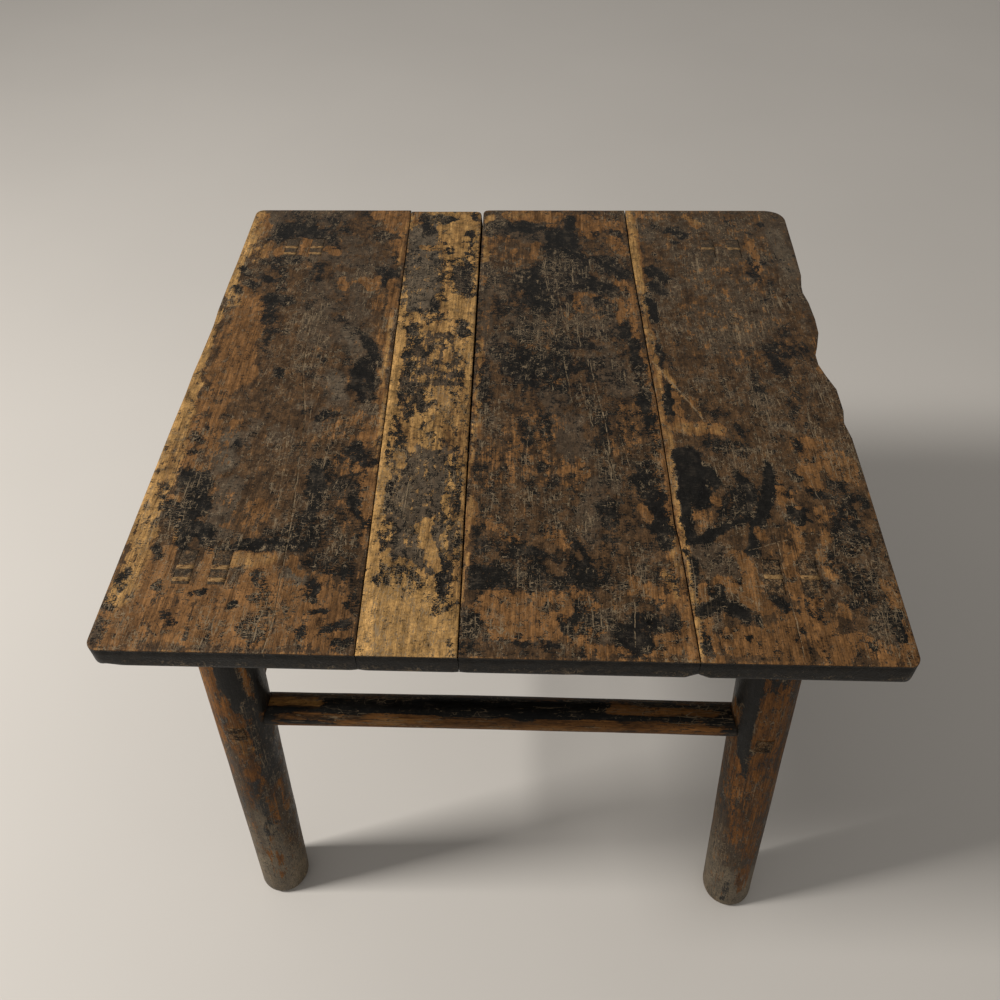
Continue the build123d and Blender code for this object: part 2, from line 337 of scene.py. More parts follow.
def set_wear(piece, grain, black, bare, gold, film):
    """Store, at every vertex, how much of each finish shows, and its place in the wood,
    whose grain runs along the second of the three values."""
    wear = piece.data.attributes.new("wear", "FLOAT_COLOR", "POINT")
    wear.data.foreach_set("color", np.stack((black, bare, gold, film), axis=1).ravel())
    run = piece.data.attributes.new("grain", "FLOAT_VECTOR", "POINT")
    run.data.foreach_set("vector", (grain * MM).ravel())


# ---- Node materials ----
class Reading:
    """A socket's value in a material, with the usual arithmetic."""

    def __init__(self, finish, socket):
        self.finish = finish
        self.socket = socket

    def __add__(self, other):
        return self.finish.maths("ADD", self, other)

    def __sub__(self, other):
        return self.finish.maths("SUBTRACT", self, other)

    def __rsub__(self, other):
        return self.finish.maths("SUBTRACT", other, self)

    def __mul__(self, other):
        return self.finish.maths("MULTIPLY", self, other)

    __radd__ = __add__
    __rmul__ = __mul__


class Finish:
    """A material and the steps that build its nodes."""

    def __init__(self, name):
        self.material = bpy.data.materials.new(name)
        self.material.use_nodes = True
        self.tree = self.material.node_tree
        self.tree.nodes.clear()

    def node(self, kind, settings=None, sockets=None, output=0):
        """One output of any node: its settings first, then what its sockets hold or read."""
        made = self.tree.nodes.new(kind)
        for name, value in (settings or {}).items():
            setattr(made, name, value)
        for place, value in (sockets or {}).items():
            if isinstance(value, Reading):
                self.tree.links.new(value.socket, made.inputs[place])
            else:
                made.inputs[place].default_value = value
        return Reading(self, made.outputs[output])

    def maths(self, operation, *values):
        return self.node("ShaderNodeMath", {"operation": operation}, dict(enumerate(values)))

    def vector(self, operation, *values, output=0):
        return self.node("ShaderNodeVectorMath", {"operation": operation},
                         dict(enumerate(values)), output)

    def attribute(self, name, output):
        """What is stored at every vertex under a name."""
        return self.node("ShaderNodeAttribute", {"attribute_name": name}, None, output)

    def table_place(self):
        """Where a point lies on the table, in metres."""
        return self.node("ShaderNodeTexCoord", None, None, "Object")

    def alike(self, kind, value):
        """The same value three times, as a vector or a grey."""
        return self.node(kind, None, dict.fromkeys(range(3), value))

    def noise(self, place, size, detail, rough, twist=0.0):
        """Noise about 0, with features of a size in millimetres, per axis if it is a tuple."""
        if isinstance(size, tuple):
            place = self.vector("MULTIPLY", place, tuple(size[0] / s for s in size))
            size = size[0]
        made = self.node("ShaderNodeTexNoise", {"noise_dimensions": "3D"},
                         {"Vector": place, "Scale": 1 / (size * MM), "Detail": detail,
                          "Roughness": rough, "Distortion": twist}, "Fac")
        return made - 0.5

    def hairlines(self, size, place, width):
        """Thin broken lines, from 0 to 1, that wander over the surface."""
        level = self.noise(place, size, 2, 0.5, 0.4)
        return self.ramp(self.maths("ABSOLUTE", level), width, 0.4 * width)

    def crazing(self, place, size, shift):
        """Fine cracks of brittle lacquer, from 0 to 1, between cells of a size in millimetres."""
        place = self.vector("MULTIPLY", place, tuple(1 / (s * MM) for s in size))
        place = self.vector("ADD", place, self.alike("ShaderNodeCombineXYZ", shift * 5.0))
        distance = self.node("ShaderNodeTexVoronoi", {"feature": "DISTANCE_TO_EDGE"},
                             {"Vector": place, "Scale": 1.0}, "Distance")
        return self.ramp(distance, 0.14, 0.04)

    def nearness(self, place, lines):
        """How near a place is to any of some lines on the top, from 0 to 1."""
        shake = self.node("ShaderNodeTexNoise", None, {"Vector": place, "Scale": 1 / (12 * MM)},
                          "Color")
        shake = self.vector("SUBTRACT", shake, (0.5, 0.5, 0.5))
        place = self.vector("ADD", place, self.vector("MULTIPLY", shake, (0.004, 0.004, 0)))
        place = self.vector("MULTIPLY", place, (1, 1, 0))
        found = 0.0
        for width, *line in lines:
            away = 1.0
            for start, end in zip(line, line[1:]):
                start, end = Vector((*start, 0)) * MM, Vector((*end, 0)) * MM
                run = end - start
                out = self.vector("SUBTRACT", place, tuple(start))
                share = self.vector("DOT_PRODUCT", out, tuple(run / run.length_squared),
                                    output="Value")
                share = self.node("ShaderNodeClamp", None, {0: share})
                foot = self.node("ShaderNodeVectorMath", {"operation": "SCALE"},
                                 {0: tuple(run), "Scale": share})
                gap = self.vector("DISTANCE", out, foot, output="Value")
                away = self.maths("MINIMUM", away, gap)
            found = self.maths("MAXIMUM", found, self.ramp(away, width * MM, 0.2 * width * MM))
        return found

    def ramp(self, value, low, high):
        """A soft step from 0 at low to 1 at high."""
        return self.node("ShaderNodeMapRange", {"interpolation_type": "SMOOTHSTEP"},
                         {"Value": value, "From Min": low, "From Max": high}, "Result")

    def mix(self, factor, first, second, blend="MIX"):
        """Two colours mixed by a factor."""
        colours = [c if isinstance(c, Reading) else (*c, 1) for c in (first, second)]
        return self.node("ShaderNodeMix", {"data_type": "RGBA", "blend_type": blend},
                         {0: factor, 6: colours[0], 7: colours[1]}, 2)

    def shade(self, colour, amount):
        """A colour made darker or lighter by an amount about 0."""
        grey = self.alike("ShaderNodeCombineColor", amount + 1.0)
        return self.mix(1.0, colour, grey, "MULTIPLY")

    def surface(self, colour, roughness, height, depth=1.0, shine=0.12):
        """The shader itself, with its relief given in millimetres."""
        bump = self.node("ShaderNodeBump", None,
                         {"Height": height, "Distance": depth * MM, "Strength": 1.0})
        shader = self.node("ShaderNodeBsdfPrincipled", None, {
            "Base Color": colour, "Roughness": roughness, "Normal": bump,
            "Specular IOR Level": shine})
        output = self.tree.nodes.new("ShaderNodeOutputMaterial")
        self.tree.links.new(shader.socket, output.inputs["Surface"])
        return self.material


def worn_lacquer(name, colours, dashes, streaks=1.0, fibre_width=0.7, scratches=(),
                 tint=(1, 1, 1)):
    """Black lacquer worn down through brown film to bare wood, as the wear attribute says. Black
    above 2 darkens further as painted shade, and gold above 1 lightens the wood as a painted
    highlight.
    """
    f = Finish(name)
    stained, flaked, scrubbed = (
        tuple(c * t for c, t in zip(wood_colour, tint))
        for wood_colour in (colours.brown, colours.orange, colours.gold))
    place = f.attribute("grain", "Vector")
    wear = f.attribute("wear", "Color")
    painted = f.node("ShaderNodeSeparateColor", None, {0: wear})
    black, bare, gold = (Reading(f, socket) for socket in painted.socket.node.outputs)
    film = Reading(f, wear.socket.node.outputs["Alpha"])

    def grained(across, length, *settings):
        return f.noise(place, (across, length, across), *settings)

    flake = grained(6, 8, 5, 0.78)
    dash = grained(7, 1.5, 3, 0.75)
    mottle = grained(9, 13, 5, 0.72)
    streak = grained(1.6, 34, 3, 0.75)
    tone = grained(12, 17, 5, 0.8)
    grit = grained(1.9, 2.3, 1, 1.0)
    fibre = grained(fibre_width, 12, 1, 0.7)
    rings = grained(5, 170, 4, 0.6, 0.3)
    cloud = grained(42, 60, 3, 0.6)

    wood = f.ramp(bare + mottle * 2.4 + streak * (1.1 * streaks) + dash * 0.5 + grit * 0.3,
                  0.46, 0.54)
    craze = f.crazing(place, (3.6, 2.4, 3.6), flake) * f.ramp(cloud + tone + mottle, 0.02, 0.1)
    chips = flake * 3.2 + dash * (dashes * 2.2) + streak * (0.8 * streaks) + grit * 0.4
    lacquer = f.ramp(black + chips - craze * 0.35 - wood * 0.1, 0.48, 0.52)
    whole = f.ramp(black, 1.25, 1.6)
    rubbed = f.ramp(gold + cloud * 0.8 + rings * 0.8 + mottle, 0.15, 0.95)
    greyed = f.ramp(film + cloud * 1.6 + tone * 1.8 + flake * 0.8, 0.36, 0.64)

    brown = f.mix(f.ramp(mottle * 2 + streak * 1.5 + rings * 0.7, -0.14, 0.03),
                  colours.lacquer, stained)
    brown = f.mix(0.5, brown, stained)
    brown = f.mix(greyed * 0.6, brown, colours.film)
    brown = f.mix(f.ramp(film + flake, 1.0, 2.0) * 0.6, brown, colours.dust)
    pepper = grained(2.3, 3.2, 2, 0.9)
    patchy = f.ramp(cloud + tone * 1.5 + streak, -0.04, 0.06)
    brown = f.mix(f.ramp(pepper + flake * 0.6, 0.05, 0.1) * patchy * 0.6, brown, colours.lacquer)
    brown = f.mix(f.ramp(pepper * -1.0 + flake * 0.5, 0.08, 0.13) * patchy * 0.35, brown,
                  colours.dust)
    timber = f.mix(rubbed, flaked, scrubbed)
    # Gold above 1 makes the wood lighter still: a painted highlight where an edge of a board
    # catches the light.
    timber = f.shade(timber, rings * 1.8 + streak * 2.0 + cloud * 0.5 + f.ramp(gold, 1, 2) * 0.5)
    pores = f.ramp(fibre + flake * 0.6, 0.08, 0.16)
    timber = f.mix(pores * 0.5, timber, colours.film)
    colour = f.mix(wood, brown, timber)
    specks = f.ramp(grit * 0.8 + dash * 0.7 + flake * 0.8, 0.14, 0.18)
    colour = f.mix(specks * 0.7, colour, colours.lacquer)
    coat = f.mix(f.ramp(mottle + dash + tone, 0.02, 0.24) * (0.4 - whole * 0.24),
                 colours.lacquer, colours.film)
    colour = f.mix(lacquer, colour, coat)
    # Black above 2 darkens the colour past whole lacquer: painted shade, used for the shadow line
    # under the top's lip and the shaded tops of the front legs.
    painted_shade = f.ramp(black, 2.0, 2.6)
    colour = f.shade(colour, tone * 3.0 + fibre * (0.4 + wood * 0.9) + grit * 1.3 - painted_shade * 0.6)

    crackle = f.hairlines((13, 3.5, 13), place, 0.016) * (0.25 + lacquer * 0.75)
    splits = f.hairlines((5, 80, 5), place, 0.014)
    network = f.hairlines((7, 9, 7), place, 0.014)
    lines = f.maths("MAXIMUM", f.maths("MAXIMUM", crackle, splits), network)
    lines = lines * f.ramp(cloud * 1.2 + flake * 1.5, 0.0, 0.14) * (1 - whole)
    if scratches:
        near = f.nearness(f.table_place(), scratches)
        marks = near * f.ramp(flake + grit * 0.6, -0.1, 0.04)
        lines = f.maths("MAXIMUM", lines, marks)
    colour = f.mix(lines * 0.8, colour, f.mix(0.3, colours.dust, colours.gold))

    roughness = 0.58 + wood * 0.08 - lacquer * 0.16 + tone * 0.8
    relief = (lacquer * 0.14 + wood * -0.08 + mottle * 0.25 + streak * 0.25 + grit * 0.08
              + fibre * (0.2 - lacquer * 0.12) + tone * 0.5 - lines * 0.1 - specks * 0.08)
    return f.surface(colour, roughness, relief)


def rough_end_grain(name, colours, wood, dirty=False):
    """Weathered end grain: brown, open and lined, with black left in its hollows."""
    f = Finish(name)
    place = f.table_place()
    lines = f.noise(place, (1.4, 9, 9), 3, 0.8)
    cells = f.noise(place, 1.4, 2, 0.9)
    cloud = f.noise(place, 7, 4, 0.8)
    dark = f.ramp(cloud * 2.0 + lines * 1.5 + cells * 0.8, -0.02, 0.1)
    colour = f.mix(f.ramp(cloud * -1.0 + cells, 0.0, 0.12) * 0.6, wood, colours.orange)
    colour = f.mix(dark * 0.9, colour, colours.lacquer)
    pale = f.hairlines((1.7, 6, 6), place, 0.03) + f.hairlines((6, 2.6, 6), place, 0.022)
    pale = f.maths("MINIMUM", pale, 1.0) * f.ramp(cloud * -1.0 + cells * 0.8, -0.08, 0.08)
    colour = f.mix(pale * 0.7, colour, f.mix(0.5, colours.wedge, colours.dust))
    if dirty:
        dirt = f.ramp(f.attribute("wear", "Alpha") + cloud * 1.5 + cells, 0.3, 1.3)
        colour = f.mix(dirt * 0.85, colour, colours.film)
    colour = f.shade(colour, cells * 3.0 + lines * 1.5)
    relief = cells * 0.5 + lines * 0.8 + cloud * 0.8 - dark * 0.35
    return f.surface(colour, 0.78 + cells * 0.2, relief)


def split_wedge_wood(name, colours, dirtiness):
    """Pale hard wood with dirty edges, its grain along the wedge's width."""
    f = Finish(name)
    place = f.table_place()
    grain = f.noise(place, (8, 0.8, 0.8), 3, 0.8)
    dirt = f.noise(place, (5, 2.2, 2.2), 4, 0.8)
    colour = f.mix(f.ramp(dirt * 1.6 + grain * 0.8, -0.04, 0.12), colours.wedge, colours.orange)
    colour = f.mix(f.ramp(dirt + grain * 0.4, 0.05, 0.12) * 0.85, colour, colours.lacquer)
    colour = f.mix(f.ramp(dirt * 2.0 + dirtiness, 0.3, 0.7) * 0.8, colour, colours.film)
    colour = f.shade(colour, grain * 3.0)
    return f.surface(colour, 0.68 + dirt * 0.3, grain * 0.6 + dirt * 0.6)


def hidden_softwood(name, colours):
    """Unlacquered wood under the top, darkened and dusty, with its grain along X."""
    f = Finish(name)
    place = f.table_place()
    rings = f.noise(place, (150, 4, 4), 4, 0.6, 0.3)
    fibre = f.noise(place, (14, 0.6, 0.6), 3, 0.6)
    cloud = f.noise(place, 35, 4, 0.65)
    colour = f.mix(f.ramp(cloud + rings, -0.25, 0.3), colours.film, colours.brown)
    colour = f.shade(colour, fibre * 1.2 + rings * 1.2)
    return f.surface(colour, 0.72 + cloud * 0.15, fibre * 0.25 + rings * 0.25)


# ---- The boards ----
HALF_TOP = 310
TOP_Z = 560
UNDERSIDE_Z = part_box("top_board_left")[0].z / MM
THICKNESS = TOP_Z - UNDERSIDE_Z
LEAST_GAP = 0.25

# Seams, by the X of their middle line at some Y, and their gap at the front and the back.
SEAMS = {
    "left": {"y": (-310, 310), "x": (-105, -125), "gap": (0.5, 0.7)},
    "middle": {"y": (-310, -150, -60, 100, 310), "x": (-28.2, -32, -33.8, -36.6, -40.5),
               "gap": (0.9, 2.4)},
    "right": {"y": (-310, -247, -200, -177, -124, -85, -20, 31, 93, 149, 222, 310),
              "x": (150.2, 147.6, 145.2, 142.8, 142.4, 141.2, 139, 136.2, 133.6, 131, 128.2,
                    126.6), "gap": (0.8, 1.2)},
}
# The worn outer edges: how far each lies inside the straight edge, at some Y.
RIGHT_EDGE = {
    "y": (-310, -120, -72, -52, -36, -6, 14, 30, 45, 58, 80, 102, 130, 148, 158, 180, 230, 310),
    "in": (0, 0, 0.4, 3.4, 0.6, 0.8, 7, 11, 11, 7, 1.5, 0.6, 2, 5, 4.6, 1.2, 0.4, 0),
}
LEFT_EDGE = {
    "y": (-310, -200, -60, -20, 10, 40, 62, 85, 110, 160, 200, 310),
    "in": (0, 0.3, 0.2, 0.9, 0.4, 1.2, 1.6, 1.9, 0.6, 0.2, 0.6, 0),
}


def seam_side(name, y, side, high):
    """X of one side of a seam, which is open above and nearly closed below."""
    seam = SEAMS[name]
    gap = np.interp(y, (-HALF_TOP, HALF_TOP), seam["gap"]) * np.clip(high * 1.6 - 0.6, 0, 1)
    return np.interp(y, seam["y"], seam["x"]) + side * np.maximum(gap, LEAST_GAP) / 2


def worn_edge(edge, y):
    """How far a worn outer edge lies inside the straight one."""
    return np.interp(y, edge["y"], edge["in"])


# Slices along and through every board, each number dividing what the ones before it left.
ALONG_SLICES = (10, 31)
LAYERS = (10,)

# Each board's two sides; its slices across; the radii of its round corners; how far its back
# end stays in and its face lies low; a seed for its unevenness; how speckled its lacquer is;
# how much lacquer, bare and rubbed wood it has before any stroke; how solid its black is, which
# is also painted shade: larger on the boards to the right, where the light falls off.
BOARDS = {
    "left": {
        "sides": (lambda y, high: -HALF_TOP + worn_edge(LEFT_EDGE, y),
                  lambda y, high: seam_side("left", y, -1, high)),
        "outer": "left", "slices": (10, 10),
        "corners": {("left", "front"): 9, ("left", "back"): 9},
        "back_in": 1.0, "drop": 0.1, "seed": 3.1, "dashes": 0.9,
        "black": 0.24, "bare": 0.12, "gold": 0, "solid_and_shade": 1.0,
    },
    "narrow": {
        "sides": (lambda y, high: seam_side("left", y, 1, high),
                  lambda y, high: seam_side("middle", y, -1, high)),
        "outer": None, "slices": (6, 7),
        "corners": {("right", "back"): 6},
        "back_in": 3.2, "drop": 0.35, "seed": 11.7, "dashes": 0.5,
        "black": 0.42, "bare": 0.12, "gold": 0.65, "solid_and_shade": 1.0,
    },
    "middle": {
        "sides": (lambda y, high: seam_side("middle", y, 1, high),
                  lambda y, high: seam_side("right", y, -1, high)),
        "outer": None, "slices": (8, 10),
        "corners": {("left", "back"): 6},
        "back_in": 0.4, "drop": 0, "seed": 23.3, "dashes": 0.7,
        "black": 0.4, "bare": 0.06, "gold": 0, "solid_and_shade": 1.4,
    },
    "right": {
        "sides": (lambda y, high: seam_side("right", y, 1, high),
                  lambda y, high: HALF_TOP - worn_edge(RIGHT_EDGE, y)),
        "outer": "right", "slices": (8, 11),
        "corners": {("right", "front"): 9, ("right", "back"): 22},
        "back_in": 0, "drop": 0.25, "seed": 37.9, "dashes": 0.5,
        "black": 0.3, "bare": 0.1, "gold": 0, "solid_and_shade": 2.2,
    },
}

# Drying cracks that run with the grain: their line, and width in the middle.
CRACKS = {
    "left": [(((-209.6, 117), (-207, 71), (-202, 13), (-187, -57), (-182.6, -109), (-178, -166),
               (-175, -216), (-172, -274), (-174, -308)), 0.45)],
    "narrow": [],
    "middle": [(((84, -20), (90, -60), (92, -100), (97, -130), (96, -168)), 0.5)],
    "right": [(((223, -185), (224, -240), (226, -309)), 0.4)],
}

# Pale scratches and cracks: half width, then the points that each one runs through.
SCRATCHES = {
    "left": (
        (0.8, (-209.6, 117), (-207, 71), (-202, 13), (-187, -57), (-182.6, -109), (-178, -166),
         (-175, -216), (-172, -274), (-174, -309)),
        (0.6, (-165, 190), (-161, 160), (-160, 140)),
        (0.6, (-236, 30), (-238, 8), (-243, -10)),
        (0.5, (-188, -10), (-184, -40), (-181, -76)),
    ),
    "narrow": (
        (0.5, (-92, -130), (-80, -118), (-66, -104)),
        (0.6, (-56, -262), (-48, -276)),
        (0.5, (-76, 60), (-74, 10), (-77, -40)),
    ),
    "middle": (
        (0.7, (45, 172), (50, 120), (60, 60)), (0.7, (65, 102), (68, 78), (70, 50)),
        (0.6, (53, 32), (57, 0), (60, -28)), (0.7, (68, -3), (72, -30), (79, -62)),
        (0.8, (90, -53), (92, -100), (97, -132), (95, -172)),
        (0.6, (78, 30), (83, -8), (88, -46)), (0.6, (30, 220), (34, 180), (37, 148)),
        (0.7, (70, -252), (73, -280), (69, -304)), (0.6, (102, -212), (105, -250), (103, -298)),
        (0.5, (20, -70), (18, -110)), (0.5, (104, -85), (109, -112)),
    ),
    "right": (
        (1.2, (139, 33), (158, -4), (181, -52)), (0.7, (140, 26), (152, 4), (170, -22)),
        (0.6, (215, -224), (245, -214)), (0.5, (200, -204), (232, -192)),
        (0.6, (223, -185), (224, -240), (226, -309)),
        (0.5, (250, -78), (262, -120), (268, -160)),
    ),
}

# Wear on the boards, brushed on as strokes: x, y, x, y, half width, amount left. Black is
# lacquer, bare is flaked wood, gold is rubbed wood, film is grey dirt and thin lacquer. Gold
# above 1 is also a painted highlight along edges that catch the light.
BOARD_WEAR_AND_HIGHLIGHTS = {
    "left": {"black": (
        (-200, 300, -180, 270, 22, 0.55), (-262, 298, -250, 290, 12, 0.6),
        (-270, 264, -225, 268, 15, 1.1), (-274, 250, -268, 262, 12, 1.1),
        (-245, 280, -236, 286, 9, 1.1), (-224, 252, -246, 256, 6, 1.1),
        (-195, 270, -186, 298, 10, 0.75), (-218, 288, -212, 282, 6, 0.9),
        (-214, 262, -210, 244, 6, 0.75), (-206, 240, -203, 230, 5, 0.7),
        (-162, 256, -138, 251, 8, 0.75), (-150, 262, -146, 258, 5, 0.9),
        (-274, 204, -240, 204, 8, 1), (-262, 196, -257, 188, 6, 0.95),
        (-236, 206, -229, 203, 4, 0.8), (-301, 188, -290, 181, 6, 1),
        (-290, 178, -276, 172, 5, 0.85), (-273, 170, -263, 164, 6, 0.95),
        (-287, 162, -279, 155, 5, 1), (-299, 154, -295, 143, 5, 1),
        (-256, 192, -251, 150, 6, 0.85), (-257, 133, -240, 128, 9, 1),
        (-254, 118, -251, 94, 8, 0.85), (-250, 90, -247, 74, 6, 0.65),
        (-239, 76, -233, 72, 5, 0.75), (-246, 64, -245, 50, 4, 0.75),
        (-218, 190, -214, 168, 8, 0.72), (-214, 128, -212, 118, 5, 0.75),
        (-145, 183, -131, 179, 9, 0.95), (-137, 165, -134, 158, 6, 0.95),
        (-133, 228, -131, 200, 4, 0.85), (-180, 98, -154, 70, 5, 0.75),
        (-150, 66, -140, 55, 7, 0.95), (-142, 48, -138, 0, 11, 1.1),
        (-146, 12, -146, -8, 8, 0.95), (-136, -5, -132, -40, 8, 0.9),
        (-166, 42, -158, 28, 9, 0.55), (-190, 44, -184, 28, 8, 0.5),
        (-227, 13, -225, 7, 5, 0.95), (-172, -28, -170, -31, 5, 0.85),
        (-176, -53, -162, -48, 5, 0.95), (-184, -38, -182, -40, 3, 0.8),
        (-192, -44, -190, -46, 3, 0.8), (-288, -79, -276, -83, 5, 0.85),
        (-275, -66, -276, -74, 3, 0.8), (-284, -101, -280, -102, 4, 0.85),
        (-243, -89, -241, -90, 4, 0.9), (-190, -92, -184, -90, 5, 0.75),
        (-273, -132, -262, -150, 12, 1.1), (-262, -130, -257, -160, 8, 1.1),
        (-285, -165, -279, -172, 7, 1), (-270, -166, -257, -168, 8, 1),
        (-268, -184, -246, -200, 10, 1.05), (-248, -206, -226, -210, 7, 0.95),
        (-281, -212, -278, -221, 5, 0.95), (-262, -203, -250, -212, 8, 1),
        (-212, -207, -160, -206, 7, 1), (-196, -193, -180, -190, 8, 0.7),
        (-170, -190, -150, -196, 12, 0.9), (-168, -176, -155, -184, 8, 0.9),
        (-163, -114, -160, -166, 7, 1), (-169, -136, -167, -150, 4, 0.9),
        (-152, -130, -152, -145, 6, 0.9), (-135, -96, -133, -206, 17, 0.6),
        (-134, -92, -130, -112, 8, 0.9), (-131, -157, -128, -162, 7, 1),
        (-118, -172, -118, -194, 5, 1), (-150, -106, -147, -108, 5, 0.9),
        (-150, -240, -122, -236, 13, 0.8), (-142, -254, -116, -262, 8, 0.95),
        (-156, -226, -130, -223, 8, 0.85), (-242, -256, -232, -255, 3, 1),
        (-206, -267, -205, -266, 4, 1), (-196, -260, -178, -264, 3, 0.85),
        (-172, -272, -160, -275, 6, 0.6), (-258, -276, -250, -284, 5, 0.85),
        (-226, -284, -220, -296, 6, 0.6), (-236, -290, -234, -298, 3, 0.8),
        (-210, -284, -209, -294, 4, 0.7), (-150, -288, -149, -294, 4, 0.8),
        (-142, -272, -128, -274, 3, 0.95), (-124, -285, -114, -283, 5, 0.85),
        (-121, -298, -111, -300, 4, 0.85), (-133, -288, -129, -285, 3, 0.8),
        (-304, -268, -298, -300, 7, 0.55), (-272, -248, -270, -252, 4, 0.95),
        (-194, -236, -186, -246, 6, 0.9), (-192, -286, -182, -298, 8, 1),
        (-301, -238, -300, -252, 5, 0.9), (-298, -142, -288, -158, 7, 0.5),
        (-302, 296, -290, 258, 9, 0.1), (-124, 296, -116, 290, 6, 0.1),
        (-126, 246, -123, 205, 3, 0.1), (-131, 166, -128, 100, 4, 0.1),
        (-125, 100, -121, -8, 3, 0.1), (-178, 80, -152, 42, 8, 0.15),
        (-170, 10, -170, -28, 6, 0.2), (-178, -34, -112, -46, 8, 0.15),
        (-252, -62, -252, -112, 8, 0.15), (-245, -145, -208, -190, 9, 0.12),
        (-120, -78, -116, -88, 5, 0.1), (-130, -112, -128, -120, 4, 0.1),
        (-112, -128, -110, -142, 4, 0.1), (-116, -150, -113, -178, 4, 0.1),
        (-162, -228, -156, -234, 5, 0.1), (-117, -228, -113, -234, 4, 0.1),
        (-134, -250, -126, -258, 7, 0.1), (-194, 298, -176, 264, 12, 0.25),
        (-138, 242, -132, 216, 6, 0.1), (-148, 124, -142, 116, 6, 0.1),
        (-170, 84, -152, 52, 6, 0.3), (-168, 2, -162, -12, 6, 0.2),
        (-126, -74, -122, -88, 6, 0.1), (-148, -104, -142, -118, 6, 0.1),
        (-244, -148, -234, -184, 8, 0.1), (-140, -160, -122, -190, 7, 0.2),
        (-252, -150, -246, -158, 5, 0.2), (-254, -204, -244, -214, 5, 0.4),
        (-150, -228, -124, -246, 9, 0.3), (-184, -256, -176, -284, 8, 0.75),
        (-206, 34, -196, 6, 7, 0.6), (-284, -164, -270, -174, 6, 1),
        (-138, -168, -124, -192, 8, 0.5), (-150, -222, -126, -230, 9, 0.75),
        (-164, -232, -160, -242, 7, 0.2), (-134, -256, -125, -272, 6, 0.05),
        (-116, -256, -113, -272, 3, 0.6), (-166, -112, -160, -166, 6, 1.1),
        (-138, -96, -122, -112, 6, 0.9), (-148, -104, -146, -108, 5, 1),
        (-114, -172, -112, -184, 3, 0.7), (-231, 290, -225, 274, 6, 0.3),
    ), "bare": (
        (-275, 104, -273, 0, 18, 1.1), (-279, 130, -270, 112, 11, 0.95),
        (-290, 150, -284, 138, 7, 0.95), (-282, 12, -262, 10, 16, 1),
        (-268, 126, -264, 116, 6, 1), (-265, 226, -263, 210, 5, 1.15),
        (-281, 234, -280, 212, 6, 0.85), (-238, 246, -237, 216, 5, 1.1),
        (-210, 226, -203, 220, 7, 1), (-187, 168, -183, 150, 4, 1),
        (-163, 165, -152, 154, 8, 1.1), (-148, 170, -146, 160, 4, 1.1),
        (-166, 298, -130, 296, 9, 1.05), (-146, 282, -130, 278, 9, 0.95),
        (-134, 270, -128, 262, 4, 1), (-147, 266, -143, 262, 4, 0.95),
        (-130, 262, -126, 200, 3.2, 1.1), (-126, 150, -123, 118, 3, 1.1),
        (-142, 134, -141, 114, 4, 1), (-131, 74, -128, 58, 5, 1),
        (-280, -30, -276, -112, 18, 0.62), (-150, -65, -132, -62, 20, 0.5),
        (-121, -14, -117, -70, 3.5, 0.9), (-208, -162, -204, -173, 8, 0.8),
        (-121, -122, -115, -172, 5, 1.1), (-116, -182, -112, -205, 3, 1),
        (-273, -182, -267, -200, 4, 1.1), (-285, -156, -283, -160, 5, 1.2),
        (-285, -235, -284, -300, 18, 0.8), (-250, -262, -130, -262, 18, 0.78),
        (-214, -222, -190, -222, 9, 1.1), (-190, -240, -182, -290, 16, 0.85),
        (-270, -214, -267, -246, 6, 1.15), (-237, -216, -237, -248, 5, 1.1),
        (-168, -222, -160, -229, 5, 1.1), (-148, -262, -138, -270, 9, 1.1),
        (-255, -290, -122, -292, 14, 0.75), (-126, -262, -123, -270, 5, 1.1),
        (-156, -252, -151, -262, 5, 1), (-300, 296, -292, 258, 8, 0.8),
        (-124, 296, -116, 290, 6, 0.9), (-126, 246, -123, 205, 3, 1.1),
        (-131, 166, -128, 100, 4, 1.1), (-125, 100, -121, -8, 3, 1.1),
        (-130, -112, -128, -120, 4, 0.9), (-112, -128, -110, -142, 4, 0.9),
        (-116, -150, -113, -178, 4, 1.1), (-134, -250, -126, -258, 7, 1),
        (-162, -228, -156, -234, 5, 0.9), (-117, -228, -113, -234, 4, 0.9),
        (-252, -62, -252, -112, 7, 0.45), (-245, -145, -208, -190, 8, 0.4),
        (-138, 242, -132, 216, 6, 0.6), (-148, 124, -142, 116, 6, 0.7),
        (-126, -74, -122, -88, 6, 0.8), (-148, -104, -142, -118, 6, 0.6),
        (-244, -148, -234, -184, 8, 0.55), (-140, -160, -122, -190, 7, 0.6),
        (-150, -228, -124, -246, 9, 0.5), (-244, -146, -238, -176, 8, 0.22),
        (-138, -168, -124, -192, 8, 0.25), (-150, -222, -122, -230, 10, 0.2),
        (-134, -256, -125, -272, 6, 1.2),
    ), "gold": (
        (-307, 308, -306, 215, 10, 0.9), (-307, 215, -306, 150, 8, 0.8),
        (-300, 146, -296, 122, 8, 0.6), (-307, 110, -306, 0, 6, 0.8),
        (-304, -10, -300, -200, 9, 0.85), (-298, -95, -297, -260, 11, 0.7),
        (-290, 235, -285, 205, 9, 0.45), (-285, -156, -283, -160, 5, 0.3),
        (-273, -182, -267, -200, 4, 0.6), (-214, -222, -190, -222, 9, 0.45),
        (-129, 280, -126, 200, 3, 0.5), (-118, -20, -114, -120, 3, 0.5),
        (-304, 296, -298, 258, 6, 0.5), (-125, 100, -121, -8, 2.5, 0.5),
    ), "film": (
        # The grey film strokes along the back edge and at the back left corner are partly dust
        # and partly a painted sheen on the lacquer.
        (-290, 298, -200, 298, 12, 0.9), (-214, 232, -170, 212, 30, 0.8),
        (-192, 150, -180, 85, 34, 0.75), (-150, 236, -145, 200, 14, 0.6),
        (-230, -68, -180, -50, 22, 0.55), (-178, -236, -158, -240, 8, 0.9),
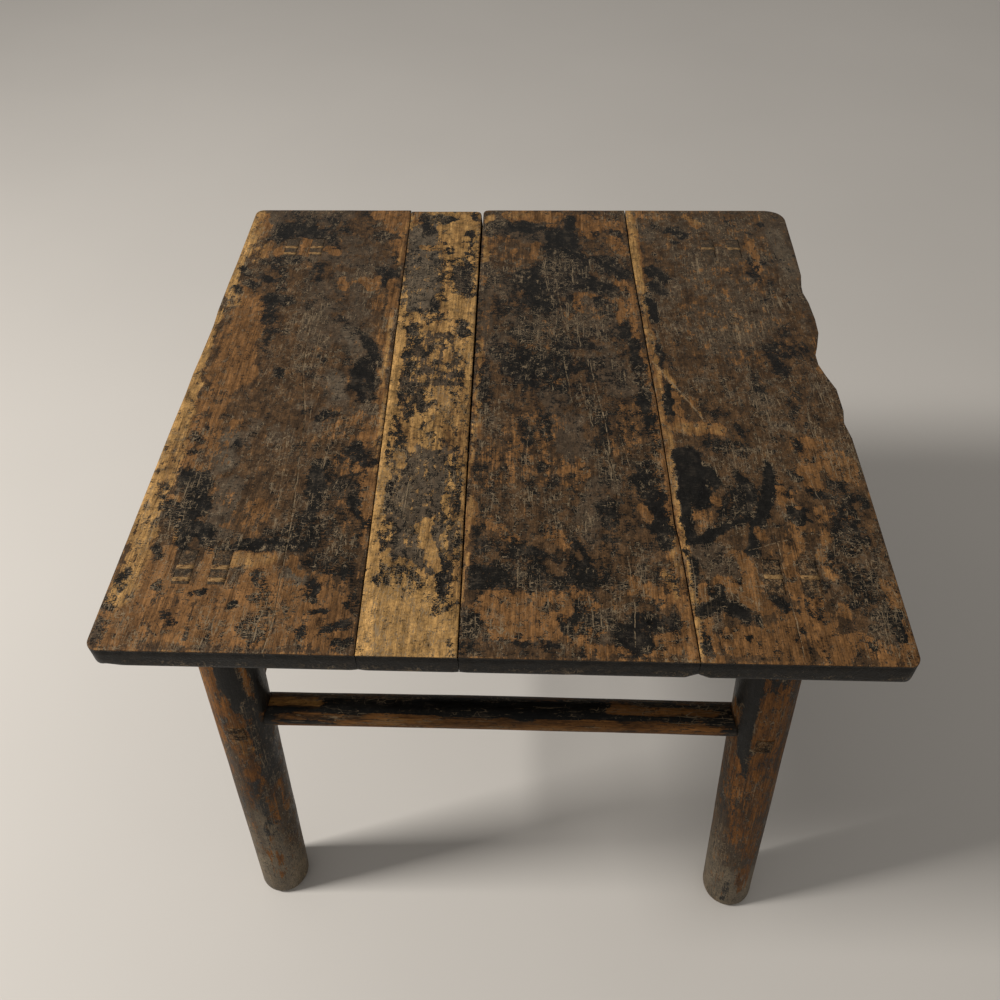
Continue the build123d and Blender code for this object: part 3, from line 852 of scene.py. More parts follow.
        (-304, -268, -298, -300, 8, 0.8), (-226, -284, -220, -296, 9, 0.8),
        (-178, 80, -152, 42, 9, 0.8), (-170, 10, -170, -28, 8, 0.7),
        (-178, -34, -112, -46, 9, 0.6), (-166, 80, -154, 52, 10, 1.4),
        (-168, 6, -160, -24, 9, 1.4), (-250, -80, -250, -115, 10, 1.4),
        (-238, -140, -236, -190, 11, 1.2), (-296, 296, -276, 270, 12, 1.3),
        (-228, 294, -224, 284, 8, 1.2), (-254, 246, -246, 240, 8, 1.2),
        (-164, -232, -160, -242, 8, 1.4), (-140, -136, -126, -148, 8, 1.2),
    )},
    "narrow": {"black": (
        (-106, 290, -80, 288, 9, 1.1), (-104, 276, -99, 262, 7, 1.05),
        (-112, 250, -100, 240, 11, 0.62), (-110, 215, -105, 125, 13, 0.78),
        (-84, 200, -80, 150, 9, 0.62), (-74, 186, -56, 178, 12, 0.55),
        (-58, 205, -50, 148, 9, 0.66), (-50, 246, -47, 190, 5, 0.55),
        (-80, 142, -77, 108, 7, 0.8), (-48, 300, -48, 292, 4, 0.9), (-52, 94, -46, 72, 5, 0.85),
        (-64, 270, -62, 225, 14, 0.12), (-95, 64, -60, 6, 30, 0.5),
        (-58, 132, -52, 116, 12, 0.1), (-92, -268, -50, -300, 30, 0.1),
        (-88, 92, -84, 66, 16, 0.2), (-113, 80, -108, -240, 5, 0.2),
        (-100, 20, -96, -60, 7, 0.55), (-104, -50, -103, -112, 4, 0.85),
        (-80, -20, -60, -40, 14, 0.42), (-85, -112, -60, -112, 18, 0.62),
        (-92, -140, -52, -140, 14, 0.66), (-88, -165, -50, -170, 16, 0.68),
        (-86, -190, -74, -214, 14, 0.62), (-44, -110, -40, -240, 7, 0.74),
        (-80, -230, -48, -234, 12, 0.82), (-96, -236, -84, -238, 8, 0.62),
        (-46, -268, -42, -264, 6, 0.85), (-36, -296, -34, -306, 4, 0.7),
        (-53, 262, -52, 208, 6, 0.9), (-78, 236, -72, 224, 6, 0.8),
        (-48, 186, -46, 164, 6, 0.95), (-88, 196, -84, 172, 9, 0.9), (-90, 112, -86, 98, 8, 0.8),
        (-100, 82, -94, 62, 8, 0.95), (-96, 44, -84, -8, 11, 0.9), (-76, -10, -72, -22, 7, 0.8),
        (-92, -108, -80, -120, 9, 0.85), (-94, -148, -92, -192, 8, 0.85),
        (-52, -176, -46, -196, 7, 0.9), (-44, -238, -40, -250, 5, 1),
        (-98, -232, -90, -238, 6, 0.8), (-112, 242, -90, 208, 8, 0.2),
        (-75, 124, -75, 114, 5, 0.1), (-75, 80, -75, 70, 6, 0.1), (-86, -54, -64, -80, 11, 0.12),
        (-58, -154, -46, -164, 5, 0.2), (-115, 80, -108, -240, 3.5, 0.1),
        (-96, -10, -84, -56, 9, 0.95), (-68, -74, -64, -92, 6, 0.85),
        (-95, -114, -84, -126, 8, 0.9), (-60, 176, -48, 142, 9, 0.9), (-62, 50, -48, 0, 9, 0.62),
        (-114, 230, -108, 112, 5, 0.3), (-107, 120, -106, 112, 4, 0.1),
        (-92, 50, -90, 40, 5, 0.2), (-66, -248, -50, -256, 6, 0.7),
        (-104, 262, -98, 134, 20, 0.38), (-54, 205, -50, 144, 10, 0.62),
        (-72, -104, -66, -236, 28, 0.42), (-92, -6, -84, -56, 12, 0.62),
        (-76, 44, -70, 4, 20, 0.42), (-106, 292, -90, 289, 8, 1), (-104, 278, -99, 262, 7, 1.1),
        (-104, 226, -98, 206, 8, 0.4), (-90, 200, -86, 160, 7, 0.5),
        (-84, 130, -80, 100, 6, 0.7), (-52, 180, -48, 150, 7, 0.9), (-66, 204, -54, 196, 6, 0.8),
        (-52, 94, -46, 72, 5, 1), (-56, 250, -53, 226, 5, 0.6), (-104, -54, -101, -84, 4, 0.6),
        (-98, -76, -88, -92, 6, 0.7), (-98, -136, -96, -162, 4, 1),
        (-44, -108, -42, -124, 4, 0.8), (-92, -112, -84, -130, 8, 0.65),
        (-96, -176, -90, -196, 6, 0.75), (-80, -232, -68, -246, 8, 0.7),
        (-50, -212, -44, -246, 6, 1), (-47, -258, -43, -268, 4, 0.7),
        (-102, -230, -93, -240, 6, 0.95), (-64, -180, -62, -200, 5, 0),
        (-58, -204, -52, -226, 5, 0.1), (-112, -160, -104, -170, 3, 0.1),
        (-106, -204, -102, -232, 5, 0.1), (-92, -210, -90, -224, 3, 0.1),
        (-96, -100, -92, -112, 5, 0.15), (-86, -52, -84, -92, 4, 0.15),
        (-66, -14, -62, -26, 6, 0.15), (-50, -104, -46, -134, 6, 0.7),
        (-56, -172, -46, -190, 7, 0.65), (-63, 44, -61, 32, 5, 0.1),
        (-105, -122, -103, -158, 3, 0.1),
    ), "bare": (
        (-80, 310, -70, -310, 80, 0.8), (-72, 280, -60, 215, 18, 1.1),
        (-66, 136, -50, 112, 12, 1.1), (-90, -262, -50, -300, 34, 1.2),
        (-84, 60, -82, -40, 26, 0.62), (-84, -60, -62, -200, 26, 0.6),
        (-108, 206, -88, 120, 13, 0.2), (-60, 200, -52, 150, 9, 0.25),
        (-92, -104, -60, -128, 14, 0.45), (-92, -150, -60, -200, 14, 0.45),
        (-92, 40, -84, 0, 12, 0.4), (-86, -54, -64, -80, 11, 1.1), (-75, 80, -75, 70, 6, 1),
        (-50, 296, -46, 288, 5, 0.3), (-118, 100, -106, -300, 5, 1.3),
        (-114, 230, -108, 112, 5, 0.55), (-62, 50, -48, 0, 9, 0.55),
        (-104, 262, -98, 134, 20, 0.18), (-54, 205, -50, 144, 10, 0.1),
        (-72, -104, -66, -236, 28, 0.26), (-92, -6, -84, -60, 12, 0.4),
        (-74, 56, -70, 4, 20, 0.4), (-104, 232, -88, 228, 5, 0.8),
        (-122, 296, -116, 286, 6, 1.1), (-64, -180, -62, -200, 5, 1.2),
        (-58, -204, -52, -226, 5, 0.9), (-106, -204, -102, -232, 5, 1.1),
        (-92, -210, -90, -224, 3, 1), (-96, -100, -92, -112, 5, 0.9),
        (-112, -160, -102, -172, 3, 1), (-86, -52, -84, -92, 4, 0.9),
        (-66, -14, -62, -26, 5, 0.8), (-76, -50, -60, -66, 8, 0.8), (-63, 44, -61, 32, 5, 1.1),
        (-105, -122, -103, -158, 3, 1.2), (-92, -14, -84, -54, 9, 0.3),
    ), "gold": (
        (-118, 305, -115, 285, 6, 0.2), (-72, 280, -60, 215, 18, 0.8),
        (-66, 136, -50, 112, 12, 0.9), (-117, 115, -104, -250, 5.5, 1.15),
        (-90, -262, -50, -300, 34, 1.15), (-45, 262, -39, 0, 2.5, 1.1),
        (-66, -182, -64, -200, 5, 0.8), (-115, 100, -108, -250, 4, 1.6),
        (-106, -250, -98, -306, 7, 1.5), (-86, -54, -64, -80, 11, 0.8),
        (-48, -100, -46, -250, 2, 0.9), (-108, -246, -100, -308, 8, 2.1),
        (-76, 135, -56, 112, 3, 0.9),
    ), "film": (
        (-95, 60, -60, 0, 30, 0.5), (-84, -100, -60, -220, 30, 0.6),
        (-96, 210, -92, 130, 18, 0.7), (-108, 206, -88, 120, 16, 1), (-60, 200, -52, 150, 10, 1),
        (-92, -104, -60, -128, 14, 1), (-92, -150, -60, -200, 14, 1), (-92, 40, -84, 0, 12, 0.9),
        (-104, 266, -98, 130, 22, 1.5), (-54, 205, -50, 144, 12, 0.9),
        (-72, -104, -66, -236, 30, 1.35), (-92, -6, -84, -60, 12, 0.9),
        (-74, 56, -70, 4, 22, 0.9),
    )},
    "middle": {"black": (
        (-26, 272, 20, 273, 13, 0.95), (5, 284, 22, 282, 8, 0.85), (34, 288, 42, 262, 6, 0.8),
        (40, 246, 70, 192, 16, 0.95), (54, 250, 54, 182, 15, 1), (60, 268, 64, 292, 6, 1),
        (20, 190, 30, 112, 15, 0.85), (30, 140, 46, 74, 14, 0.95), (88, 208, 106, 204, 9, 0.88),
        (100, 190, 118, 180, 10, 0.95), (110, 263, 117, 258, 4, 0.9),
        (92, 262, 91, 256, 4, 0.85), (105, 289, 114, 287, 4, 0.85), (-26, 182, 8, 160, 13, 0.66),
        (-26, 140, 20, 95, 20, 0.6), (76, 160, 106, 148, 11, 0.8), (86, 118, 102, 110, 8, 0.85),
        (2, 42, 52, 26, 15, 0.9), (8, 20, 28, 4, 15, 1), (30, 0, 60, -8, 9, 0.7),
        (45, 72, 108, 66, 10, 0.62), (80, 50, 104, 10, 18, 0.5), (117, 92, 113, 70, 6, 0.95),
        (122, 62, 128, 6, 6, 0.95), (127, 2, 131, -62, 5.5, 0.95), (131, -62, 133, -95, 4, 0.7),
        (116, -128, 130, -146, 10, 0.92), (130, -108, 132, -130, 5, 0.85),
        (126, -160, 134, -196, 9, 0.98), (-18, -112, -12, -165, 9, 0.58),
        (-20, -10, -16, -50, 6, 0.6), (20, -76, 21, -80, 6, 0.95), (33, -110, 34, -115, 5, 0.9),
        (14, -54, 16, -66, 5, 0.75), (42, -130, 44, -135, 4, 0.8), (20, -132, 22, -138, 5, 0.75),
        (40, -155, 43, -165, 6, 0.7), (86, -158, 92, -172, 6, 0.95),
        (4, -200, 22, -216, 12, 0.78), (-22, -236, 46, -236, 13, 0.9),
        (62, -206, 68, -238, 9, 0.92), (24, -214, 40, -224, 9, 0.85),
        (86, -236, 96, -240, 6, 0.85), (-24, -184, -20, -205, 5, 0.8),
        (-4, -176, -2, -178, 3, 0.8), (115, -232, 122, -236, 4, 0.8),
        (-22, -276, -18, -285, 7, 1), (-26, -300, -22, -301, 4, 0.9),
        (2, -295, 46, -299, 2.5, 0.95), (50, -276, 60, -286, 6, 0.78),
        (106, -276, 132, -276, 8, 0.9), (100, -290, 108, -296, 8, 0.98),
        (60, -305, 66, -306, 4, 0.7), (82, -270, 84, -284, 4, 0.6), (44, 110, 52, 50, 9, 0.95),
        (62, 66, 84, 40, 10, 0.9), (-28, 60, 6, 34, 11, 0.75), (66, 28, 76, 8, 8, 0.85),
        (30, 196, 62, 186, 10, 1), (60, 136, 60, 112, 5, 1), (90, 130, 103, 115, 8, 1),
        (-26, 20, -22, 8, 6, 0.9), (32, -60, 36, -70, 6, 0.7), (84, -98, 86, -112, 5, 0.6),
        (62, -274, 82, -276, 5, 1), (93, -285, 106, -298, 9, 1), (-28, 268, 20, 266, 14, 1),
        (50, 250, 56, 160, 15, 1), (16, 186, 36, 122, 14, 1), (76, 168, 100, 152, 11, 1),
        (100, 204, 116, 180, 9, 1), (10, 30, 42, 14, 13, 0.95), (-24, 10, -22, -45, 4.5, 0.9),
        (-20, -114, -14, -140, 5, 0.6), (120, -112, 126, -128, 7, 0.9),
        (92, -156, 88, -178, 6, 0.9), (-20, -184, -14, -208, 6, 0.85), (4, 296, 38, 290, 9, 0.1),
        (24, 236, 24, 214, 5, 0.1), (-22, 240, 10, 205, 15, 0.12), (76, 290, 90, 284, 7, 0.1),
        (-30, -80, -29, -125, 2.5, 0.1), (-28, -150, -26, -260, 2.5, 0.1),
        (-25, -160, -23, -176, 5, 0.1), (40, -222, 46, -228, 5, 0.2), (48, -60, 56, -92, 9, 0.1),
        (116, -160, 120, -170, 5, 0.1), (74, 138, 80, 112, 7, 0.1), (92, 122, 102, 113, 7, 0.8),
        (24, 84, 44, 62, 10, 0.95), (60, 84, 88, 74, 8, 0.8), (84, -88, 92, -128, 8, 0.7),
        (76, -22, 84, -62, 7, 0.65), (30, -50, 38, -76, 6, 0.75), (66, -262, 76, -282, 7, 0.9),
        (10, -98, 18, -110, 5, 0.6), (38, 196, 66, 183, 8, 0.95), (-27, 145, -25, 56, 5, 0.15),
        (57, -32, 57, -46, 5, 0.2), (70, 14, 70, 4, 4, 0.2), (66, 46, 92, 42, 6, 0.25),
        (58, -206, 62, -214, 4, 0.4), (26, 250, 30, 238, 5, 0.5), (-18, 258, 24, 252, 8, 0.5),
        (30, 262, 32, 242, 5, 0.3), (6, 74, 24, 64, 9, 0.95), (-32, 176, -28, 164, 6, 0.8),
        (76, -24, 84, -60, 7, 0.85), (34, 70, 62, 118, 14, 0.62), (84, -34, 92, -110, 7, 0.72),
        (118, -222, 134, -232, 6, 0.8), (44, -180, 54, -192, 6, 0.7),
        (14, -262, 30, -290, 10, 0.3),
    ), "bare": (
        (-4, 300, 46, 296, 10, 1.1), (-5, 285, -3, 281, 4, 1), (70, 280, 90, 266, 9, 1.05),
        (76, 260, 86, 251, 6, 1.05), (44, 276, 35, 268, 4, 0.9), (98, 286, 120, 270, 11, 0.9),
        (110, 246, 120, 222, 9, 0.95), (26, 224, 22, 212, 5, 1.05), (-20, 245, 0, 195, 16, 0.4),
        (66, 138, 68, 106, 4, 1), (80, 138, 102, 128, 7, 0.6), (58, 108, 62, 98, 4, 1.1),
        (76, 102, 90, 90, 12, 0.5), (108, 128, 115, 94, 5.5, 1.2), (113, 168, 122, 150, 6, 1.15),
        (124, 152, 124, 60, 4, 1.15), (128, 62, 130, 20, 2.5, 1.1), (36, 90, 38, 56, 6, 0.85),
        (16, 58, 22, 48, 6, 0.7), (40, 6, 48, 0, 6, 0.7), (-33, 296, -30, 268, 4.5, 1),
        (-34, 250, -32, 205, 3.5, 1), (-33, 175, -33, 160, 3, 0.9), (-30, 60, -28, -40, 3, 0.9),
        (-27, -40, -25, -78, 4, 1), (-12, -120, 30, -60, 26, 0.42),
        (131, 40, 135.5, -50, 4, 1.2), (136.5, -60, 137.5, -150, 5.5, 1.2),
        (139, -170, 145, -306, 5, 1.2), (-8, -178, 8, -194, 7, 0.85),
        (40, -188, 52, -200, 8, 0.7), (105, -90, 115, -40, 14, 0.4),
        (-6, -266, 50, -264, 14, 1.1), (2, -286, 40, -284, 9, 1.1), (60, -290, 74, -280, 8, 0.9),
        (72, -302, 96, -302, 6, 0.8), (136, -48, 137, -170, 5, 1.15),
        (139, -170, 143, -240, 5, 1.1), (131, -228, 138, -250, 5, 1),
        (106, -240, 124, -252, 11, 0.7), (112, -300, 132, -292, 9, 0.85),
        (142, -240, 148, -306, 4, 1.15), (60, -250, 72, -262, 8, 0.7),
        (-8, 297, 40, 291, 9, 1.1), (24, 236, 24, 214, 5, 1.1), (-31, -80, -30, -125, 1.8, 1.1),
        (-30, -150, -27.4, -260, 1.6, 1.1), (-26, -160, -24, -176, 5, 1.1),
        (74, 138, 80, 112, 7, 0.45), (116, -160, 120, -170, 5, 0.8), (76, 294, 88, 290, 6, 0.9),
        (20, -110, 60, -120, 20, 0.45), (36, 90, 38, 56, 6, 0.3), (72, 98, 92, 84, 11, 0.1),
        (76, 134, 96, 108, 6, 0.3), (-26, 140, -24, 60, 5, 0.3), (10, -262, 44, -266, 14, 0.72),
        (10, -284, 40, -286, 8, 0.85),
    ), "gold": (
        (-33, 296, -30, 268, 4.5, 0.6), (-34, 250, -32, 205, 3.5, 0.6),
        (-30, 60, -27, -60, 3, 0.5), (139, -170, 143, -240, 3, 0.5),
        (131, -228, 138, -250, 4, 0.5), (-10, 300, 40, 298, 7, 0.35),
        (-30, -150, -27.4, -260, 1.6, 0.6), (-26, -160, -24, -176, 5, 0.5),
        (-31, -60, -30, -125, 1.8, 0.6),
    ), "film": (
        (-24, 300, -14, 270, 8, 0.9), (0, 160, 20, 100, 30, 0.6), (84, 155, 90, 110, 18, 0.6),
        (90, 40, 100, 10, 20, 0.6), (50, -30, 60, -90, 18, 0.6), (75, -180, 82, -200, 12, 0.6),
        (-20, 165, 5, 120, 20, 0.5), (84, -270, 78, -292, 8, 0.8), (-26, 165, 60, 150, 12, 0.9),
        (66, 108, 100, 86, 14, 1), (40, -20, 60, -90, 14, 0.9), (96, 20, 108, -10, 14, 0.9),
        (-20, 240, 5, 200, 14, 0.5), (86, -130, 70, -180, 14, 0.7), (-16, 40, -8, 70, 9, 0.8),
        (-27, 145, -25, 56, 6, 1), (-20, 270, 30, 250, 14, 1.1), (-32, 200, -30, 120, 5, 0.8),
    )},
    "right": {"black": (
        (225, 300, 225, 140, 75, 0.18), (160, 272, 171, 266, 6, 0.75),
        (180, 266, 188, 256, 8, 1), (177, 243, 179, 242, 4, 0.95), (244, 286, 247, 276, 4, 0.75),
        (280, 280, 280, 275, 4, 0.9), (260, 262, 264, 260, 4, 0.8),
        (258, 207, 262, 192, 6, 0.85), (256, 182, 262, 172, 6, 0.7),
        (272, 214, 274, 202, 4, 0.65), (288, 216, 285, 204, 6, 0.65),
        (275, 162, 274, 148, 5, 0.85), (289, 137, 288, 131, 4, 0.75),
        (263, 134, 260, 131, 4, 0.8), (262, 54, 282, 50, 11, 0.72), (256, 52, 262, 16, 6, 0.85),
        (274, 90, 271, 76, 7, 0.55), (148, 186, 158, 172, 9, 0.75),
        (150, 158, 158, 150, 7, 0.85), (147, 60, 149, 44, 3, 1.1), (151, -4, 152, -44, 3, 1.1),
        (141, 128, 143, 110, 2.5, 1.1), (142, 142, 146, 112, 6, 0.95),
        (144, 80, 146, 62, 4, 0.7), (144, 44, 147, 28, 4, 0.7), (237, 10, 236, 0, 6, 0.8),
        (238, -4, 235, -28, 4, 0.85), (145, -18, 147, -42, 3, 0.9), (178, -26, 194, -40, 9, 0.5),
        (268, -10, 262, -48, 7, 0.6), (184, -84, 212, -86, 10, 0.58),
        (210, -56, 214, -68, 4, 0.7), (162, -100, 166, -146, 12, 1.1),
        (178, -114, 181, -132, 5, 0.85), (201, -120, 207, -132, 6, 0.95),
        (205, -138, 196, -166, 11, 0.95), (228, -104, 229, -126, 3.5, 1.1),
        (226, -130, 221, -152, 6, 1.1), (218, -155, 208, -186, 6, 1.1),
        (207, -186, 200, -206, 4.5, 1.1), (190, -150, 184, -170, 8, 0.75),
        (198, -171, 176, -183, 2.5, 1.1), (176, -183, 154, -198, 4, 1.1),
        (153, -160, 155, -186, 4, 0.95), (229, -130, 240, -131, 1.5, 1),
        (254, -74, 260, -86, 4, 0.75), (262, -92, 268, -100, 5, 0.6),
        (246, -164, 256, -168, 5, 0.95), (238, -138, 242, -144, 3, 0.85),
        (262, -138, 276, -144, 5, 0.8), (283, -134, 288, -148, 8, 0.85),
        (284, -160, 283, -200, 9, 0.85), (298, -142, 303, -152, 4, 0.9),
        (296, -188, 302, -206, 6, 0.85), (276, -184, 276, -198, 5, 0.95),
        (263, -204, 264, -210, 2.5, 1), (274, -224, 286, -240, 9, 0.9),
        (290, -226, 295, -258, 6, 0.8), (280, -252, 290, -264, 7, 0.85),
        (303, -262, 300, -288, 4, 1), (280, -276, 286, -278, 4, 0.85),
        (276, -291, 278, -293, 3, 0.95), (154, -234, 162, -252, 6, 0.95),
        (155, -264, 166, -258, 8, 1.05), (176, -246, 186, -264, 9, 1.1),
        (188, -232, 186, -250, 1.8, 1.1), (176, -232, 186, -234, 2, 0.9),
        (155, -294, 158, -302, 4, 0.95), (157, -278, 155, -290, 3, 0.85),
        (186, -287, 188, -287, 3, 0.9), (168, -283, 170, -286, 3, 0.85),
        (214, -252, 220, -262, 4.5, 0.9), (200, -262, 200, -277, 1.8, 0.95),
        (252, -234, 256, -236, 4, 0.8), (160, -210, 175, -222, 12, 0.3),
        (154, -94, 157, -146, 7, 1.2), (152, -172, 154, -190, 4, 1.1),
        (145, 160, 147, 150, 5, 1), (145, 122, 147, 98, 5, 1.1), (240, -160, 244, -172, 5, 1),
        (238, -250, 242, -262, 6, 1), (248, -116, 254, -124, 5, 0.9), (236, -10, 236, -32, 6, 1),
        (240, 224, 240, 218, 4, 0.1), (270, 188, 270, 180, 6, 0.1), (250, 120, 250, 110, 6, 0.1),
        (172, -22, 172, -30, 5, 0.1), (180, -148, 180, -154, 4, 0.1),
        (212, -184, 212, -190, 5, 0.1), (180, -250, 206, -262, 6, 0.1),
        (262, -258, 262, -266, 5, 0.1), (285, -162, 285, -168, 4, 0.1),
        (130, 242, 142, 170, 6, 0.1), (160, -97, 168, -120, 9, 1.3),
        (151, -128, 153, -160, 4, 1.3), (152, -206, 156, -232, 4, 0.9),
        (226, -14, 236, -30, 7, 0.7), (258, -214, 262, -224, 4, 0.6),
        (290, 252, 300, 200, 8, 0.1), (296, -36, 296, -62, 6, 0.15),
        (296, -176, 296, -204, 5, 0.4), (284, -234, 286, -246, 5, 0.5),
        (160, -102, 163, -122, 10, 1.2), (179, -113, 182, -128, 5, 1.1),
        (256, -166, 260, -168, 5, 0.3), (282, -138, 284, -168, 5, 0.8),
        (274, -182, 278, -205, 5, 0.85), (292, -185, 298, -205, 4, 0.85),
        (268, -222, 282, -234, 7, 0.85), (280, -240, 288, -258, 7, 0.82),
        (268, -252, 276, -262, 4, 0.8), (296, -262, 300, -288, 4, 1),
        (238, -248, 242, -262, 6, 0.5), (176, -234, 182, -242, 4, 0),
        (192, -238, 198, -256, 5, 0), (158, -238, 160, -252, 3, 0), (148, 186, 160, 172, 9, 1),
        (150, 160, 158, 148, 8, 1.05), (144, 132, 146, 102, 5, 1.1),
        (226, -112, 226, -132, 4, 1.2), (184, -178, 164, -194, 5, 1.15),
        (184, -84, 212, -88, 8, 0.75), (202, -10, 230, -30, 10, 0.45),
        (212, 74, 226, 50, 10, 0.42),
    ), "bare": (
        (131, 306, 137, 150, 5, 1.2), (137, 152, 143, -60, 4.5, 1.2),
        (145, -60, 147, -160, 5, 1.2), (149, -160, 153, -306, 3.6, 1.2),
        (158, -60, 192, -62, 8, 1.1), (155, -8, 158, -50, 5, 0.95), (150, 18, 156, -4, 4, 0.8),
        (270, -86, 294, -112, 16, 0.72), (262, -110, 265, -132, 8, 0.9),
        (232, -134, 244, -158, 8, 0.75), (194, -210, 197, -242, 6, 1.1),
        (230, -202, 230, -248, 5, 1.15), (257, -204, 262, -226, 5, 1.15),
        (176, -240, 200, -240, 8, 1.1), (160, -240, 161, -256, 3.5, 1.2),
        (156, -270, 162, -306, 5, 1), (178, -290, 204, -290, 12, 0.95),
        (240, -262, 250, -300, 12, 0.85), (222, -270, 220, -300, 12, 0.8),
        (300, -235, 305, -306, 6, 0.85), (262, -190, 270, -160, 8, 0.5),
        (265, 226, 264, 188, 3.5, 1.15), (277, 224, 275, 214, 3, 0.9),
        (142, 302, 170, 296, 10, 0.6), (304, 68, 299, 20, 4, 0.6),
        (160, -165, 172, -180, 8, 0.55), (268, -290, 290, -300, 10, 0.7),
        (240, -170, 236, -200, 9, 0.6), (270, 188, 270, 180, 6, 0.7),
        (172, -22, 172, -30, 5, 0.8), (180, -148, 180, -154, 4, 0.8),
        (212, -184, 212, -190, 5, 0.8), (190, -254, 206, -260, 6, 0.9),
        (262, -258, 262, -266, 5, 0.8), (285, -162, 285, -168, 4, 0.8),
        (131, 242, 138, 170, 6, 1.2), (186, 294, 196, 284, 7, 0.9),
        (176, -234, 182, -242, 4, 1.2), (192, -238, 198, -256, 5, 1.1),
        (158, -238, 160, -252, 3, 1.2), (225, 290, 225, 70, 60, 0.27),
        (238, 233, 247, 229, 3.5, 0.8), (265, 226, 264, 188, 3.5, 1.15),
        (204, 286, 206, 276, 6, 0.9), (262, 246, 262, 230, 5, 0.95),
    ), "gold": (
        (131, 306, 133, 220, 5, 0.6), (134, 222, 137, 150, 4.5, 0.6),
        (137, 152, 139, 60, 4, 0.5), (141, 56, 143, -60, 4, 0.42),
        (145, -60, 147, -160, 4.5, 0.42), (149, -160, 153, -306, 3.2, 0.6),
        (150, 18, 156, -4, 4, 0.6), (158, -60, 192, -62, 8, 0.35),
        (238, 233, 247, 229, 3.5, 0.9), (255, -204, 258, -222, 4, 0.15),
        (138, 34, 180, -50, 1.4, 0.6), (130, 242, 134, 170, 5, 1), (190, 298, 208, 286, 7, 0.4),
    ), "film": (
        (292, 300, 300, 200, 14, 0.9), (300, 190, 300, 80, 10, 0.7),
        (140, 262, 150, 245, 9, 0.9), (270, 200, 280, 150, 14, 0.6),
        (165, 200, 160, 130, 12, 0.5), (160, -200, 176, -224, 12, 0.8),
        (200, 250, 250, 30, 60, 0.3), (225, 290, 225, 140, 60, 0.45), (298, 292, 302, 278, 8, 1),
        (292, 260, 298, 190, 10, 1), (225, 290, 225, 80, 50, 0.6), (292, 262, 298, 180, 11, 1.4),
        (146, 270, 150, 250, 9, 1.3),
    )},
}


CRACK_SLICES = 36
# Chips out of the lower front arris: X, half width and depth.
FRONT_CHIPS = ((150, 9, 5.5), (-299, 12, 2.5), (-105, 6, 1.5), (-28, 5, 1.2), (60, 7, 0.8))


def board_points(box, board, shape):
    """Shape a sliced box into a board: seam lines, worn edges, round corners and arrises."""
    width = np.ptp(box[:, 0])
    reach = {
        "left": gathered(box[:, 0] - box[:, 0].min()),
        "right": gathered(box[:, 0].max() - box[:, 0]),
        "front": gathered(box[:, 1] + HALF_TOP),
        "back": gathered(HALF_TOP - box[:, 1]),
        "top": gathered(TOP_Z - box[:, 2]),
        "under": gathered(box[:, 2] - UNDERSIDE_Z),
    }
    across = (box[:, 0] - box[:, 0].min()) / width
    deep = (box[:, 1] + HALF_TOP) / (2 * HALF_TOP)
    high = (box[:, 2] - UNDERSIDE_Z) / THICKNESS

    outer = [name for name in ("front", "back", board["outer"]) if name]
    seams = [name for name in ("left", "right") if name != board["outer"]]
    for face, outer_radius in (("top", shape.arris_radius), ("under", shape.lower_arris_radius)):
        rim = np.minimum.reduce([reach[name] for name in outer])
        inward, reach[face] = rounded(rim, reach[face], outer_radius / MM)
        for name in outer:
            reach[name] = np.maximum(reach[name], inward)
        for name in seams:
            reach[name], reach[face] = rounded(reach[name], reach[face],
                                               shape.seam_arris_radius / MM)
    for (side, end), radius in board["corners"].items():
        reach[side], reach[end] = rounded(reach[side], reach[end], radius)

    left, right = (side(box[:, 1], high) for side in board["sides"])
    x = (left + reach["left"]) * (1 - across) + (right - reach["right"]) * across
    front = -HALF_TOP + reach["front"]
    back = HALF_TOP - board["back_in"] - reach["back"]
    y = front * (1 - deep) + back * deep
    z = (UNDERSIDE_Z + reach["under"]) * (1 - high) + (TOP_Z - reach["top"]) * high
    for middle, half_width, depth in FRONT_CHIPS:
        across = np.clip(1 - abs(x - middle) / half_width, 0, 1)
        chip = depth * across * np.clip(1 - (y + HALF_TOP) / (2 * depth), 0, 1)
        z += chip * np.clip(1 - (z - UNDERSIDE_Z) / THICKNESS, 0, 1)
    return np.stack((x, y, z), axis=1), high


def from_rim(place):
    """How far inside the rim of the top a point lies."""
    return HALF_TOP - np.maximum(abs(place[:, 0]), abs(place[:, 1]))


def crack_blade(line, width, depth):
    """A thin blade along a crack, pointed at both ends and at its lower edge."""
    line = np.array(line, float)[::-1]
    low_y, high_y = line[0, 1], line[-1, 1]
    blade = block((-1, low_y, -1), (1, high_y, 1))
    slice_along(blade, 1, (CRACK_SLICES,))
    place = points(blade)
    share = (place[:, 1] - low_y) / (high_y - low_y)
    middle = np.interp(place[:, 1], line[:, 1], line[:, 0])
    half = width / 2 * np.clip(8 * share * (1 - share), 0.06, 1)
    lower = place[:, 2] < 0
    place[:, 0] = middle + place[:, 0] * half * np.where(lower, 0.15, 1)
    bottom = TOP_Z - depth * np.clip(6 * share * (1 - share), 0.3, 1)
    place[:, 2] = np.where(lower, bottom, TOP_Z + 2)
    move_points(blade, place)
    return blade


def tenon_blocks(end, side, top_z):
    """Blocks where a leg's two tenons stand, from the CAD wedges in them and the leg."""
    leg = points(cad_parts[f"leg_{end}_{side}"])
    tenons = leg[leg[:, 2] > UNDERSIDE_Z + 1]
    low_y, high_y = tenons[:, 1].min(), tenons[:, 1].max()
    made = []
    for place in ("outer", "inner"):
        low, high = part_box(f"tenon_wedges_{end}_{side}_{place}")
        made.append(block((low.x / MM, low_y, UNDERSIDE_Z - 4), (high.x / MM, high_y, top_z)))
    return made


